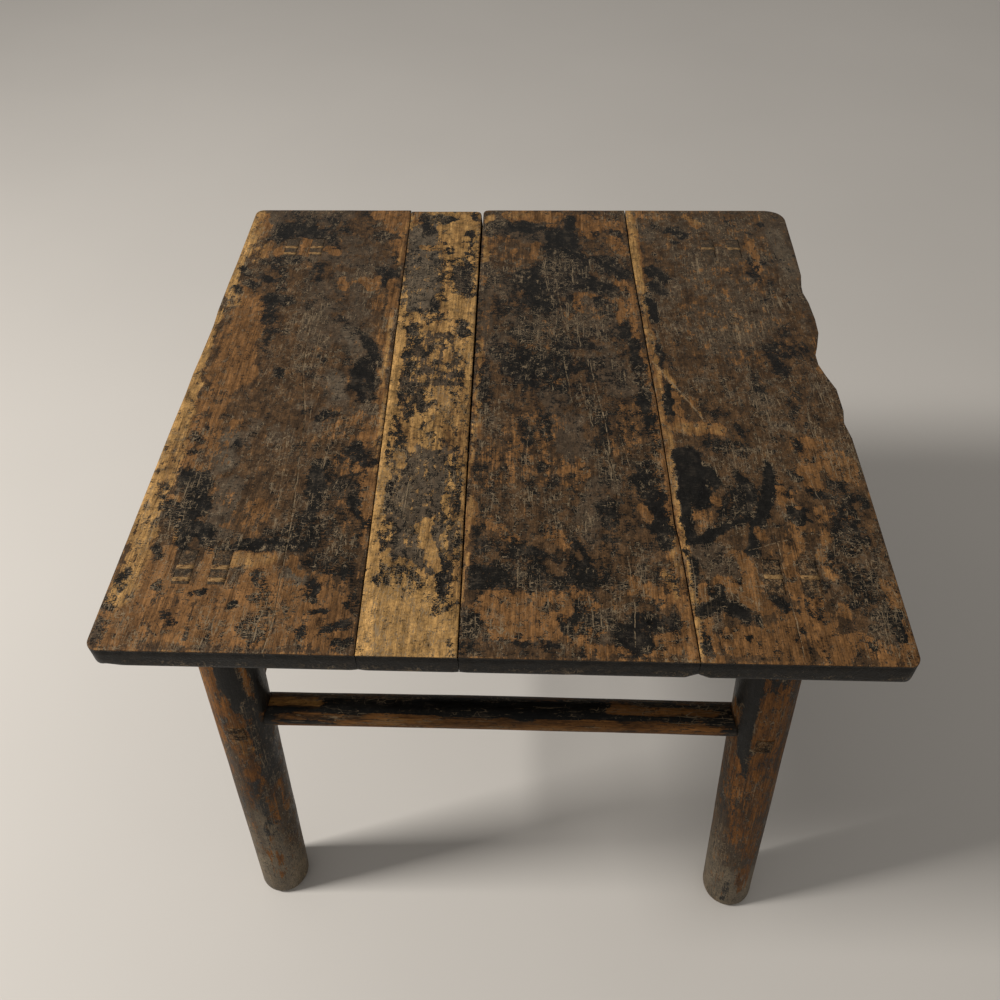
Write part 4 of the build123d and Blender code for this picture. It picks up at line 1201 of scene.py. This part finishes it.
class TABLE_OT_boards(bpy.types.Operator):
    """Saw, round, hollow and crack the four boards of the top, and brush on their wear"""

    bl_idname = "old_table.boards"
    bl_label = "Boards of the top"

    def execute(self, context):
        shape = context.scene.table_shape
        colours = context.scene.table_colours
        for name, board in BOARDS.items():
            finish = worn_lacquer(f"worn_lacquer_{name}_board", colours, board["dashes"],
                                  scratches=SCRATCHES[name])
            middle = [float(side(np.zeros(1), 1)[0]) for side in board["sides"]]
            piece = block((middle[0], -HALF_TOP, UNDERSIDE_Z), (middle[1], HALF_TOP, TOP_Z))
            slice_along(piece, 0, board["slices"])
            slice_along(piece, 1, ALONG_SLICES)
            slice_along(piece, 2, LAYERS)
            place, high = board_points(points(piece), board, shape)
            self.wear_down(place, high, middle, board["drop"], board["seed"],
                           shape.board_unevenness / MM)
            move_points(piece, place)

            tools = [crack_blade(line, width, shape.crack_depth / MM)
                     for line, width in CRACKS[name]]
            tools += [cad_copy(f"batten_{end}") for end in ENDS]
            if board["outer"]:
                for end in ENDS:
                    tools += tenon_blocks(end, board["outer"], TOP_Z + 3)
            combine(piece, tools, "DIFFERENCE")
            combine(piece, [cad_copy(f"seam_pegs_{seam}") for seam in SEAMS], "DIFFERENCE")
            self.brush_wear(piece, name, board)
            finish_piece(piece, f"board_{name}", [finish],
                         f"top_board_{name}")
        return {"FINISHED"}

    def wear_down(self, place, high, sides, drop, seed, depth):
        """Hollow the upper face, lower it to its rim, roughen the sides and hollow the front
        edge a little under its lip."""
        flat = place * (1, 1, 0)
        hollow = smooth_noise(flat, (70, 170, 90), seed)
        ripple = smooth_noise(flat, (16, 60, 30), seed + 5)
        lower = (hollow * 0.5 + 0.5) * depth + (ripple * 0.5 + 0.5) * depth * 0.4
        lower += 0.4 * np.clip(1 - from_rim(place) / 14, 0, 1) ** 2
        place[:, 2] -= (lower + drop) * high ** 2
        chatter = smooth_noise(place, (6, 6, 9), seed + 9)
        inward = (sum(sides) / 2 - place[:, 0]) / (sides[1] - sides[0])
        place[:, 0] += inward * (chatter + 1) * 0.3 * np.clip(1 - abs(high - 0.5) * 1.6, 0, 1)
        under_face = TOP_Z - place[:, 2]
        lip = np.clip(1 - abs(under_face - 3.5) / 2, 0, 1) * (chatter * 0.6 + 0.8)
        place[:, 1] += lip * np.clip(1 - (place[:, 1] + HALF_TOP) / 2, 0, 1)

    def brush_wear(self, piece, name, board):
        """Brush the wear on the upper face, and darken the edges, with a painted shadow line
        under the lip, and the underside.
        """
        place = points(piece)
        seed = board["seed"]
        brushed = shaken(place[:, :2], seed)
        upper = np.clip((place[:, 2] - TOP_Z + 3) / 1.4, 0, 1)
        side = 1 - upper
        under = np.clip((UNDERSIDE_Z + 2 - place[:, 2]) / 2, 0, 1)
        black, bare, gold, film = brushed_on(
            brushed, BOARD_WEAR_AND_HIGHLIGHTS[name], black=board["black"], bare=board["bare"],
            gold=board["gold"], film=0.2)
        # Solid black is deepened further on the boards to the right: partly solid lacquer, partly
        # painted shade where the light falls off.
        black += np.clip(black - 0.85, 0, 0.3) * board["solid_and_shade"]
        bare = np.maximum(bare, np.where(gold > board["gold"] + 0.02, gold, 0))
        arris = (np.clip(1 - from_rim(place) / 2.2, 0, 1)
                 * np.clip((place[:, 2] - TOP_Z + 1.6) / 0.6, 0, 1))
        low = np.clip((TOP_Z - 7 - place[:, 2]) / 12, 0, 1)
        # A band about 3.6 mm under the top on the board's edges gets black above 2: a painted
        # shadow line under the lip of the upper arris.
        painted_lip_shadow = np.clip(1.3 - abs(TOP_Z - 3.6 - place[:, 2]) / 1.8, 0, 1)
        black = (black * upper + side * (1.7 - 0.4 * low - 0.7 * under + painted_lip_shadow * 1.3)
                 - arris * 0.3)
        bare = bare * upper + side * 0.05 + arris * 0.5
        gold = gold * upper + arris * 0.3
        film = film * upper + side * (0.05 + 0.45 * low)
        grain = place + (seed * 40, seed * 70, 0)
        grain[:, 0] += 4 * smooth_noise(place * (1, 1, 0), (80, 200, 80), seed + 2)
        set_wear(piece, grain, black, bare, gold, film)


# ---- Legs ----
LEG_RADIUS = 28
LEG_SIDES = 72
FOOT_SEGMENTS = 5
# A leg's streaks are brushed on this many times as long as they are wide.
LEG_STREAK = 4


def leg_axis(end, side):
    """Foot and head of a leg's middle line, read from its CAD node."""
    leg = points(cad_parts[f"leg_{end}_{side}"])
    ends = []
    for z in (0, UNDERSIDE_Z):
        ring = leg[abs(leg[:, 2] - z) < 0.05]
        ends.append(Vector((*((ring.min(0) + ring.max(0)) / 2)[:2], z)))
    return ends


def leg_round(end, side, past, sides):
    """The round that a leg is made from, drawn out past both ends of its middle line."""
    foot, head = leg_axis(end, side)
    run = (head - foot).normalized()
    return round_bar(foot - run * past, head + run * past, LEG_RADIUS, sides)


def around(place, foot, head):
    """Angle round a leaning bar, its distance from the middle line, and the line itself."""
    share = (place[:, 2] - foot.z) / (head.z - foot.z)
    line = np.array(foot) + share[:, None] * (np.array(head) - np.array(foot))
    out = (place - line)[:, :2]
    return np.arctan2(out[:, 0], -out[:, 1]), np.hypot(*out.T), line


def hewn(place, middle, depth, seed, long_axis):
    """Move points of a round bar in or out, as drawknife flats and use have left it."""
    size = np.full(3, 13.0)
    size[long_axis] = 110
    broad = smooth_noise(place, size, seed)
    small = smooth_noise(place, size * 0.45, seed + 7)
    out = place - middle
    out[:, long_axis] = 0
    length = np.linalg.norm(out, axis=1)[:, None]
    unit = out / np.where(length > 1e-6, length, 1)
    move = -(broad * 0.5 + 0.5) * depth * 0.8 - (small * 0.5 + 0.5) * depth * 0.4
    return place + unit * move[:, None]


# Wear on the legs: round the girth, from the front to the right, and up, in millimetres. Black
# strokes above 2 near the tops of the front legs are painted shade.
LEG_WEAR_AND_SHADE = {
    ("front", "left"): {"black": (
        (6, 541, 6, 430, 9, 2.3), (9, 430, 11, 396, 6, 2.2), (16, 400, 18, 350, 6, 1.2),
        (29, 541, 34, 380, 8, 2.3), (26, 345, 28, 262, 13, 1.3), (-12, 372, -8, 330, 3, 0.6),
        (6, 262, 6, 150, 6, 0.6), (16, 200, 18, 60, 6, 0.45), (30, 200, 34, 60, 8, 0.55),
        (-20, 270, -18, 120, 6, 0.4), (50, 520, 52, 60, 14, 0.8),
    ), "bare": (
        (-18, 541, -16, 400, 15, 0.95), (-4, 400, 3, 362, 9, 1.1), (3, 362, 6, 326, 15, 1.1),
        (6, 326, 6, 280, 5, 1), (20, 448, 21, 402, 6, 0.95), (-22, 400, -20, 340, 10, 0.8),
        (15, 228, 15, 172, 4, 0.8), (31, 265, 31, 180, 4, 0.85), (4, 110, 8, 60, 9, 0.75),
        (-4, 230, -4, 205, 3, 0.8),
    ), "gold": (
        (-27, 541, -27, 300, 5, 0.5), (-2, 360, 8, 326, 9, 0.4),
    ), "film": (
        (-24, 330, -22, 120, 16, 1), (4, 220, 10, 60, 12, 1.3), (0, 60, 20, 0, 40, 1),
    )},
    ("front", "right"): {"black": (
        (-20, 541, -19, 330, 6.5, 2.3), (-17, 330, -14, 296, 4, 1.1),
        (-42, 500, -38, 410, 12, 2.2), (-2, 541, 0, 442, 4, 0.7), (8, 470, 8, 440, 3, 0.6),
        (3, 420, 4, 380, 2.5, 0.6), (-30, 270, -28, 120, 7, 0.5), (-7, 62, -8, 20, 3, 0.9),
        (20, 200, 22, 60, 5, 0.5), (60, 520, 62, 60, 16, 0.7),
    ), "bare": (
        (2, 541, 2, 300, 15, 0.95), (-27, 345, -26, 270, 6, 0.8), (-36, 402, -34, 378, 5, 0.8),
        (-10, 320, -6, 150, 9, 0.7), (10, 300, 12, 120, 10, 0.75), (10, 105, 12, 50, 10, 0.95),
        (-24, 70, -24, 30, 8, 0.6),
    ), "gold": (
        (25, 520, 27, 60, 5, 0.45),
    ), "film": (
        (-38, 270, -34, 60, 14, 0.9), (0, 60, 20, 0, 40, 0.8),
    )},
}
# Wear on the back legs.
PLAIN_LEG_WEAR = {
    "black": (
        (-40, 520, -38, 200, 12, 0.8), (10, 520, 12, 80, 14, 0.75), (60, 500, 58, 120, 14, 0.7),
        (-75, 480, -72, 250, 10, 0.6),
    ),
    "bare": (
        (-14, 540, -12, 220, 10, 0.75), (36, 500, 34, 160, 8, 0.7), (84, 520, 84, 100, 8, 0.6),
        (-60, 360, -60, 60, 8, 0.6),
    ),
    "gold": (
        (36, 500, 34, 160, 5, 0.3),
    ),
    "film": (
        (-60, 200, -58, 40, 20, 0.8), (50, 300, 52, 60, 16, 0.7),
    ),
}


# Dirt on the tenon ends in the top.
TENON_DIRT = {
    ("front", "left"): 0.7, ("front", "right"): 0.3,
    ("back", "left"): 1.0, ("back", "right"): 1.0,
}


class TABLE_OT_legs(bpy.types.Operator):
    """Turn, hew and mortise the four legs, with twin tenons that come through the top"""

    bl_idname = "old_table.legs"
    bl_label = "Legs"

    def execute(self, context):
        shape = context.scene.table_shape
        colours = context.scene.table_colours
        finish = worn_lacquer("worn_lacquer_legs", colours, dashes=0.15, streaks=2.2,
                              fibre_width=1.2, tint=(0.92, 0.78, 0.56))
        grain = rough_end_grain("tenon_end_grain", colours, colours.end_grain, dirty=True)
        for number, (end, side) in enumerate(CORNERS):
            foot, head = leg_axis(end, side)
            leg = leg_round(end, side, 40, LEG_SIDES)
            for z, outward in ((0, -1), (UNDERSIDE_Z, 1)):
                edit(leg, "polygons", True, bpy.ops.mesh.bisect, plane_co=(0, 0, z * MM),
                     plane_no=(0, 0, outward), use_fill=True, clear_outer=True)
            foot_rim = edge_ends(leg)[:, :, 2].max(axis=1) < 1
            edit(leg, "edges", foot_rim, bpy.ops.mesh.bevel, offset=shape.foot_radius,
                 segments=FOOT_SEGMENTS, affect="EDGES")
            divide_long(leg, axis=2, least=100, cuts=9)
            divide_long(leg, axis=2, least=30, cuts=10)
            place = points(leg)
            _, away, line = around(place, foot, head)
            shaped = hewn(place, line, shape.hewn_depth / MM, seed=50 + 11 * number, long_axis=2)
            wall = (place[:, 2] < UNDERSIDE_Z - 0.5) & (away > 5)
            move_points(leg, np.where(wall[:, None], shaped, place))

            tenons = tenon_blocks(end, side, TOP_Z)
            for tenon in tenons:
                slice_along(tenon, 0, (6,))
                slice_along(tenon, 1, (14,))
                place = points(tenon)
                rough = smooth_noise(place, (2.6, 2.2, 2), 90 + number)
                top = place[:, 2] > TOP_Z - 1
                place[:, 2] -= np.where(top, 0.75 + rough * 0.55, 0)
                move_points(tenon, place)
            combine(leg, tenons, "UNION")
            names = [f"tenon_wedges_{end}_{side}_{which}" for which in ("outer", "inner")]
            combine(leg, wedge_slots(names, axis=2, outward=1), "DIFFERENCE")
            for mortise in (stretcher_tenon_block(end, side, root=0),
                            stub_tenon_block(end, side, root=0, clearance=-MORTISE_OVERLAP)):
                combine(leg, [mortise], "DIFFERENCE")

            self.brush_wear(leg, end, side, foot, head)
            finish_piece(leg, f"leg_{end}_{side}_worn", [finish, grain],
                         f"leg_{end}_{side}")
            in_top = face_values(leg, "center")[:, 2] / MM > UNDERSIDE_Z + 4
            facing_up = face_values(leg, "normal")[:, 2] > 0.5
            leg.data.polygons.foreach_set("material_index", (in_top & facing_up).astype(int))
        return {"FINISHED"}

    def brush_wear(self, leg, end, side, foot, head):
        """Brush streaks of lacquer and wood down the leg."""
        place = points(leg)
        angle, _, line = around(place, foot, head)
        girth = np.stack((angle * LEG_RADIUS, place[:, 2] / LEG_STREAK), axis=1)
        girth = shaken(girth, seed=5) * (1, LEG_STREAK)
        black, bare, gold, film = brushed_on(
            girth, LEG_WEAR_AND_SHADE.get((end, side), PLAIN_LEG_WEAR), black=0.34, bare=0.3, gold=0,
            film=0.3)
        low = np.clip(1 - place[:, 2] / 250, 0, 1)
        film = np.where(place[:, 2] > UNDERSIDE_Z, TENON_DIRT[end, side], film + low * 1.5)
        grain = (place - line)[:, [0, 2, 1]] + (0, 0, 200 * SIDES[side] + 90 * ENDS[end])
        grain[:, 1] = place[:, 2] * 0.5
        set_wear(leg, grain, black - low * 0.3, bare - low * 0.4, gold, film)


# ---- Stretchers ----
BAR_SIDES = 48
COPE_SIDES = 96
LONG_HEIGHT = 355
SIDE_HEIGHT = 354
LONG_RADIUS = 16
SIDE_RADIUS = 13.5
TENON_WIDTH = 16
SIDE_TENON_HALF_HEIGHT = 10
STUB_HALF_HEIGHT = 11
STUB_CLEARANCE = 0.3
TENON_ROOT = 10
# How far the blind mortise reaches into the one behind it, so that they open into each other.
MORTISE_OVERLAP = 0.5
# How far the front stretcher bows up.
BOW = 2
# A stretcher's streaks are brushed on this many times as long as they are wide.
BAR_STREAK = 5


def leg_middle(end, side, z):
    """The leg's middle line at a height."""
    foot, head = leg_axis(end, side)
    return foot.lerp(head, z / head.z)


def stretcher_tenon_block(end, side, root):
    """The side stretcher's tenon through a leg, as a block."""
    x, y, z = leg_middle(end, side, SIDE_HEIGHT)
    inner = y - ENDS[end] * (LEG_RADIUS + root)
    outer = y + ENDS[end] * (LEG_RADIUS + 6)
    return block((x - TENON_WIDTH / 2, min(inner, outer), z - SIDE_TENON_HALF_HEIGHT),
                 (x + TENON_WIDTH / 2, max(inner, outer), z + SIDE_TENON_HALF_HEIGHT))


def stub_tenon_block(end, side, root, clearance):
    """The blind tenon of a front or back stretcher, as a block that ends at the cheek of the
    side stretcher's tenon."""
    x, y, z = leg_middle(end, side, LONG_HEIGHT)
    side_tenon_x = leg_middle(end, side, SIDE_HEIGHT).x
    tip = side_tenon_x - SIDES[side] * (TENON_WIDTH / 2 + clearance)
    inner = x - SIDES[side] * (LEG_RADIUS + root)
    return block((min(tip, inner), y - TENON_WIDTH / 2, z - STUB_HALF_HEIGHT),
                 (max(tip, inner), y + TENON_WIDTH / 2, z + STUB_HALF_HEIGHT))


# Wear on the stretchers: along them from the middle, and round the front from the top, in
# millimetres.
STRETCHER_WEAR = {
    "black": (
        (-230, 3, 230, 3, 8, 1.3), (-230, 22, 230, 22, 9, 0.28), (-230, 35, 230, 35, 5, 0.8),
        (-224, 0, -166, 0, 5, 0), (108, 1, 192, 2, 4.5, 0), (-110, 21, 110, 21, 9, -0.25),
        (-150, 5, 10, 4, 2.5, 1.4), (-60, 29, 50, 30, 2, 1), (60, 8, 130, 8, 3, 1.1),
        (196, 12, 226, 12, 4, 1.1), (-200, 22, -150, 23, 2.5, 1), (214, 24, 224, 24, 8, 1.1),
        (-226, 24, -216, 20, 7, 1.1),
    ),
    "bare": (
        (-230, 24, 230, 24, 9, 0.6), (-224, 0, -166, 0, 5, 1.3), (108, 1, 192, 2, 4.5, 1.2),
        (-110, 21, 110, 21, 10, 1.1), (-214, 13, -150, 13, 2, 1), (-150, 20, -20, 21, 4, 1),
        (0, 21, 120, 20, 4, 1), (130, 17, 212, 19, 3, 1), (-200, 29, -90, 28, 3, 0.9),
        (90, 29, 212, 28, 3, 0.9),
    ),
    "gold": (
        (-224, 0, -166, 0, 5, 0.6), (108, 1, 192, 2, 3.5, 0.1), (-150, 22, 120, 22, 6, 0.35),
    ),
}


class TABLE_OT_stretchers(bpy.types.Operator):
    """Shape the four round stretchers, cope their ends over the legs and add their tenons"""

    bl_idname = "old_table.stretchers"
    bl_label = "Stretchers"

    def execute(self, context):
        shape = context.scene.table_shape
        colours = context.scene.table_colours
        finish = worn_lacquer("worn_lacquer_stretchers", colours, dashes=0.0, streaks=3.4,
                              fibre_width=1.3, tint=(1.05, 0.94, 0.76))
        grain = rough_end_grain("side_tenon_end_grain", colours, colours.brown)
        runs = [(f"stretcher_{end}", (end, "left"), (end, "right"), LONG_HEIGHT, LONG_RADIUS, 0)
                for end in ENDS]
        runs += [(f"stretcher_{side}", ("front", side), ("back", side), SIDE_HEIGHT,
                  SIDE_RADIUS, 1) for side in SIDES]
        for number, (name, first, second, height, radius, axis) in enumerate(runs):
            start, end = (leg_middle(*corner, height) for corner in (first, second))
            bar = round_bar(start, end, radius, BAR_SIDES)
            for cuts in (7, 11):
                divide_long(bar, axis, least=20, cuts=cuts)
            place = points(bar)
            middle = np.broadcast_to(np.array((start + end) / 2), place.shape)
            wall = np.linalg.norm(np.delete(place - middle, axis, axis=1), axis=1) > 3
            shaped = hewn(place, middle, shape.hewn_depth / MM, seed=200 + 13 * number,
                          long_axis=axis)
            place = np.where(wall[:, None], shaped, place)
            share = (place[:, axis] - start[axis]) / (end[axis] - start[axis])
            if name == "stretcher_front":
                place[:, 2] += BOW * np.sin(math.pi * share)
            move_points(bar, place)
            corners = (first, second)
            combine(bar, [leg_round(*corner, 20, COPE_SIDES) for corner in corners], "DIFFERENCE")
            if axis == 0:
                tenons = [stub_tenon_block(*corner, TENON_ROOT, STUB_CLEARANCE)
                          for corner in corners]
            else:
                tenons = [stretcher_tenon_block(*corner, TENON_ROOT) for corner in corners]
                for tenon in tenons:
                    slice_along(tenon, 0, (6,))
                    slice_along(tenon, 2, (8,))
            combine(bar, tenons, "UNION")
            if axis == 1:
                self.trim_tenons(bar, corners)
            self.brush_wear(bar, number, axis, start, end)
            finish_piece(bar, f"{name}_worn", [finish, grain], name)
            if axis == 1:
                centre = face_values(bar, "center") / MM
                beyond = abs(centre[:, 1] - (start.y + end.y) / 2) > abs(end.y - start.y) / 2 + 5
                facing = abs(face_values(bar, "normal")[:, 1]) > 0.5
                bar.data.polygons.foreach_set("material_index", (beyond & facing).astype(int))
        return {"FINISHED"}

    def trim_tenons(self, bar, corners):
        """Pull the tenon ends back to just proud of the leg's round, and roughen them."""
        place = points(bar)
        for number, (end, side) in enumerate(corners):
            middle = leg_middle(end, side, SIDE_HEIGHT)
            lean = (leg_middle(end, side, SIDE_HEIGHT + 10) - middle).y / 10
            out = ENDS[end]
            dx = np.clip(place[:, 0] - middle.x, -LEG_RADIUS + 1, LEG_RADIUS - 1)
            face = (middle.y + lean * (place[:, 2] - SIDE_HEIGHT)
                    + out * np.sqrt(LEG_RADIUS ** 2 - dx ** 2))
            end_face = out * (place[:, 1] - middle.y) > LEG_RADIUS + 4
            rough = smooth_noise(place, (3, 3, 2.2), 70 + number)
            place[:, 1] = np.where(end_face, face + out * (rough * 0.5 - 0.1), place[:, 1])
        move_points(bar, place)
        for end, side in corners:
            slots = wedge_slots([f"stretcher_wedges_{end}_{side}"], axis=1, outward=ENDS[end])
            combine(bar, slots, "DIFFERENCE")

    def brush_wear(self, bar, number, axis, start, end):
        """Brush streaks of lacquer and wood along the stretcher."""
        place = points(bar)
        out = place - np.array((start + end) / 2)
        girth = np.arctan2(-out[:, 1 - axis], out[:, 2]) * LONG_RADIUS
        bands = np.stack((out[:, axis] / BAR_STREAK, girth), axis=1)
        bands = shaken(bands, seed=8 + number) * (BAR_STREAK, 1)
        grain = out[:, [1 - axis, axis, 2]] * (1, 0.25, 1) + (0, 0, 60 * number)
        set_wear(bar, grain, *brushed_on(bands, STRETCHER_WEAR, black=0.5, bare=0.3, gold=0,
                                         film=0.1))


# ---- Wedges ----
def fray(piece, axis, outward, seed):
    """Roughen the driven end of each wedge in a piece."""
    place = points(piece)
    reach = place[:, axis] * outward
    rough = smooth_noise(place, 1.6, seed)
    place[:, axis] -= np.where(reach > reach.max() - 1, outward * (0.35 + rough * 0.4), 0)
    move_points(piece, place)


class TABLE_OT_wedges(bpy.types.Operator):
    """Fray the wedges that spread the tenons"""

    bl_idname = "old_table.wedges"
    bl_label = "Wedges"

    def execute(self, context):
        colours = context.scene.table_colours
        clean = split_wedge_wood("split_wedge_wood", colours, 0.15)
        dirty = split_wedge_wood("dirty_wedge_wood", colours, 0.5)
        dull = rough_end_grain("side_wedge_end_grain", colours, colours.brown)
        for number, (end, side) in enumerate(CORNERS):
            names = [f"tenon_wedges_{end}_{side}_{which}" for which in ("outer", "inner")]
            finish = dirty if (end, side) == ("back", "right") else clean
            for name in names + [f"stretcher_wedges_{end}_{side}"]:
                piece = cad_copy(name)
                edit(piece, "edges", True, bpy.ops.mesh.subdivide, number_cuts=3)
                if name in names:
                    fray(piece, axis=2, outward=1, seed=300 + number)
                else:
                    fray(piece, axis=1, outward=ENDS[end], seed=340 + number)
                finish_piece(piece, f"{name}_frayed", [finish if name in names else dull],
                             name)
        return {"FINISHED"}


class TABLE_OT_hidden_pieces(bpy.types.Operator):
    """Finish the battens and pegs, whose CAD shapes are kept"""

    bl_idname = "old_table.hidden_pieces"
    bl_label = "Battens and pegs"

    def execute(self, context):
        colours = context.scene.table_colours
        batten = hidden_softwood("dusty_batten_wood", colours)
        peg = hidden_softwood("peg_wood", colours)
        finishes = {f"batten_{end}": batten for end in ENDS}
        finishes.update({f"seam_pegs_{seam}": peg for seam in SEAMS})
        for name, finish in finishes.items():
            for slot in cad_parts[name].material_slots:
                slot.material = finish
        return {"FINISHED"}


# ---- Stage: places in metres, turns in degrees ----
CAMERA_PLACE = (0.02889, -0.68629, 1.14802)
CAMERA_YAW, CAMERA_PITCH, CAMERA_ROLL = 3.40, 47.76, -1.70
SENSOR_WIDTH = 36
FLOOR_SIZE = 16
FLOOR_MIDDLE = (0, 3, 0)
LAMP_PLACE = (-2.3, -0.5, 2.5)
LAMP_AIM = (0, 0, 0.45)
LAMP_SIZE = 0.6
LAMP_COLOUR = (1.0, 0.985, 0.96)
SKY_COLOUR = (1.0, 0.985, 0.965, 1)


class TABLE_OT_stage(bpy.types.Operator):
    """Set the camera, a plain pale floor and soft light"""

    bl_idname = "old_table.stage"
    bl_label = "Stage"

    def execute(self, context):
        stage = context.scene.table_stage
        self.place_camera(stage)
        floor = added(bpy.ops.mesh.primitive_plane_add, size=FLOOR_SIZE, location=FLOOR_MIDDLE)
        floor.name = "floor"
        f = Finish("plain_floor")
        place = f.table_place()
        cloud = f.noise(place, 700, 3, 0.5)
        floor.data.materials.append(f.surface(
            f.shade(stage.floor_colour, cloud * 0.12), 0.75, cloud, depth=0.1, shine=0.5))

        world = bpy.data.worlds.new("room")
        context.scene.world = world
        world.use_nodes = True
        sky = world.node_tree.nodes["Background"]
        sky.inputs["Color"].default_value = SKY_COLOUR
        sky.inputs["Strength"].default_value = stage.sky_strength

        bpy.ops.object.select_all(action="DESELECT")
        bpy.ops.object.light_add(type="AREA", location=LAMP_PLACE)
        key = context.active_object
        key.name = "window_light"
        key.data.shape = "RECTANGLE"
        key.data.size = key.data.size_y = LAMP_SIZE
        key.data.energy = stage.key_power
        key.data.color = LAMP_COLOUR
        aim = Vector(LAMP_AIM) - key.location
        key.rotation_euler = aim.to_track_quat("-Z", "Y").to_euler()

        context.scene.view_settings.view_transform = "Standard"
        return {"FINISHED"}

    def place_camera(self, stage):
        """Look down at the table from a standing height."""
        yaw, pitch, roll = map(math.radians, (CAMERA_YAW, CAMERA_PITCH, CAMERA_ROLL))
        ahead = Vector((-math.sin(yaw) * math.cos(pitch), math.cos(yaw) * math.cos(pitch),
                        -math.sin(pitch)))
        right = Vector((math.cos(yaw), math.sin(yaw), 0))
        up = right.cross(ahead)
        right_turned = right * math.cos(roll) + up * math.sin(roll)
        up_turned = up * math.cos(roll) - right * math.sin(roll)
        turn = Matrix((right_turned, up_turned, -ahead)).transposed()
        bpy.ops.object.camera_add(location=CAMERA_PLACE, rotation=turn.to_euler())
        camera = bpy.context.active_object
        camera.data.lens = stage.lens
        camera.data.sensor_width = SENSOR_WIDTH
        bpy.context.scene.camera = camera


class TABLE_PT_panel(bpy.types.Panel):
    """Everything about the old table, in the sidebar"""

    bl_label = "Old lacquered table"
    bl_idname = "TABLE_PT_panel"
    bl_space_type = "VIEW_3D"
    bl_region_type = "UI"
    bl_category = "Old table"

    def draw(self, context):
        layout = self.layout
        for operator in OPERATORS:
            layout.operator(operator.bl_idname, text=operator.bl_label)
        for owner, group in GROUPS.items():
            for name in group.__annotations__:
                layout.prop(getattr(context.scene, owner), name)


GROUPS = {"table_shape": TableShape, "table_colours": TableColours, "table_stage": TableStage}
OPERATORS = (TABLE_OT_stage, TABLE_OT_boards, TABLE_OT_legs, TABLE_OT_stretchers,
             TABLE_OT_wedges, TABLE_OT_hidden_pieces)


def register():
    for made in (*GROUPS.values(), *OPERATORS, TABLE_PT_panel):
        bpy.utils.register_class(made)
    for name, group in GROUPS.items():
        setattr(bpy.types.Scene, name, PointerProperty(type=group))


def unregister():
    for name in GROUPS:
        delattr(bpy.types.Scene, name)
    for made in reversed((*GROUPS.values(), *OPERATORS, TABLE_PT_panel)):
        bpy.utils.unregister_class(made)


def main():
    """Make everything in order."""
    register()
    for step in ("stage", "boards", "legs", "stretchers", "wedges", "hidden_pieces"):
        getattr(bpy.ops.old_table, step)()


if __name__ == "__main__":
    main()
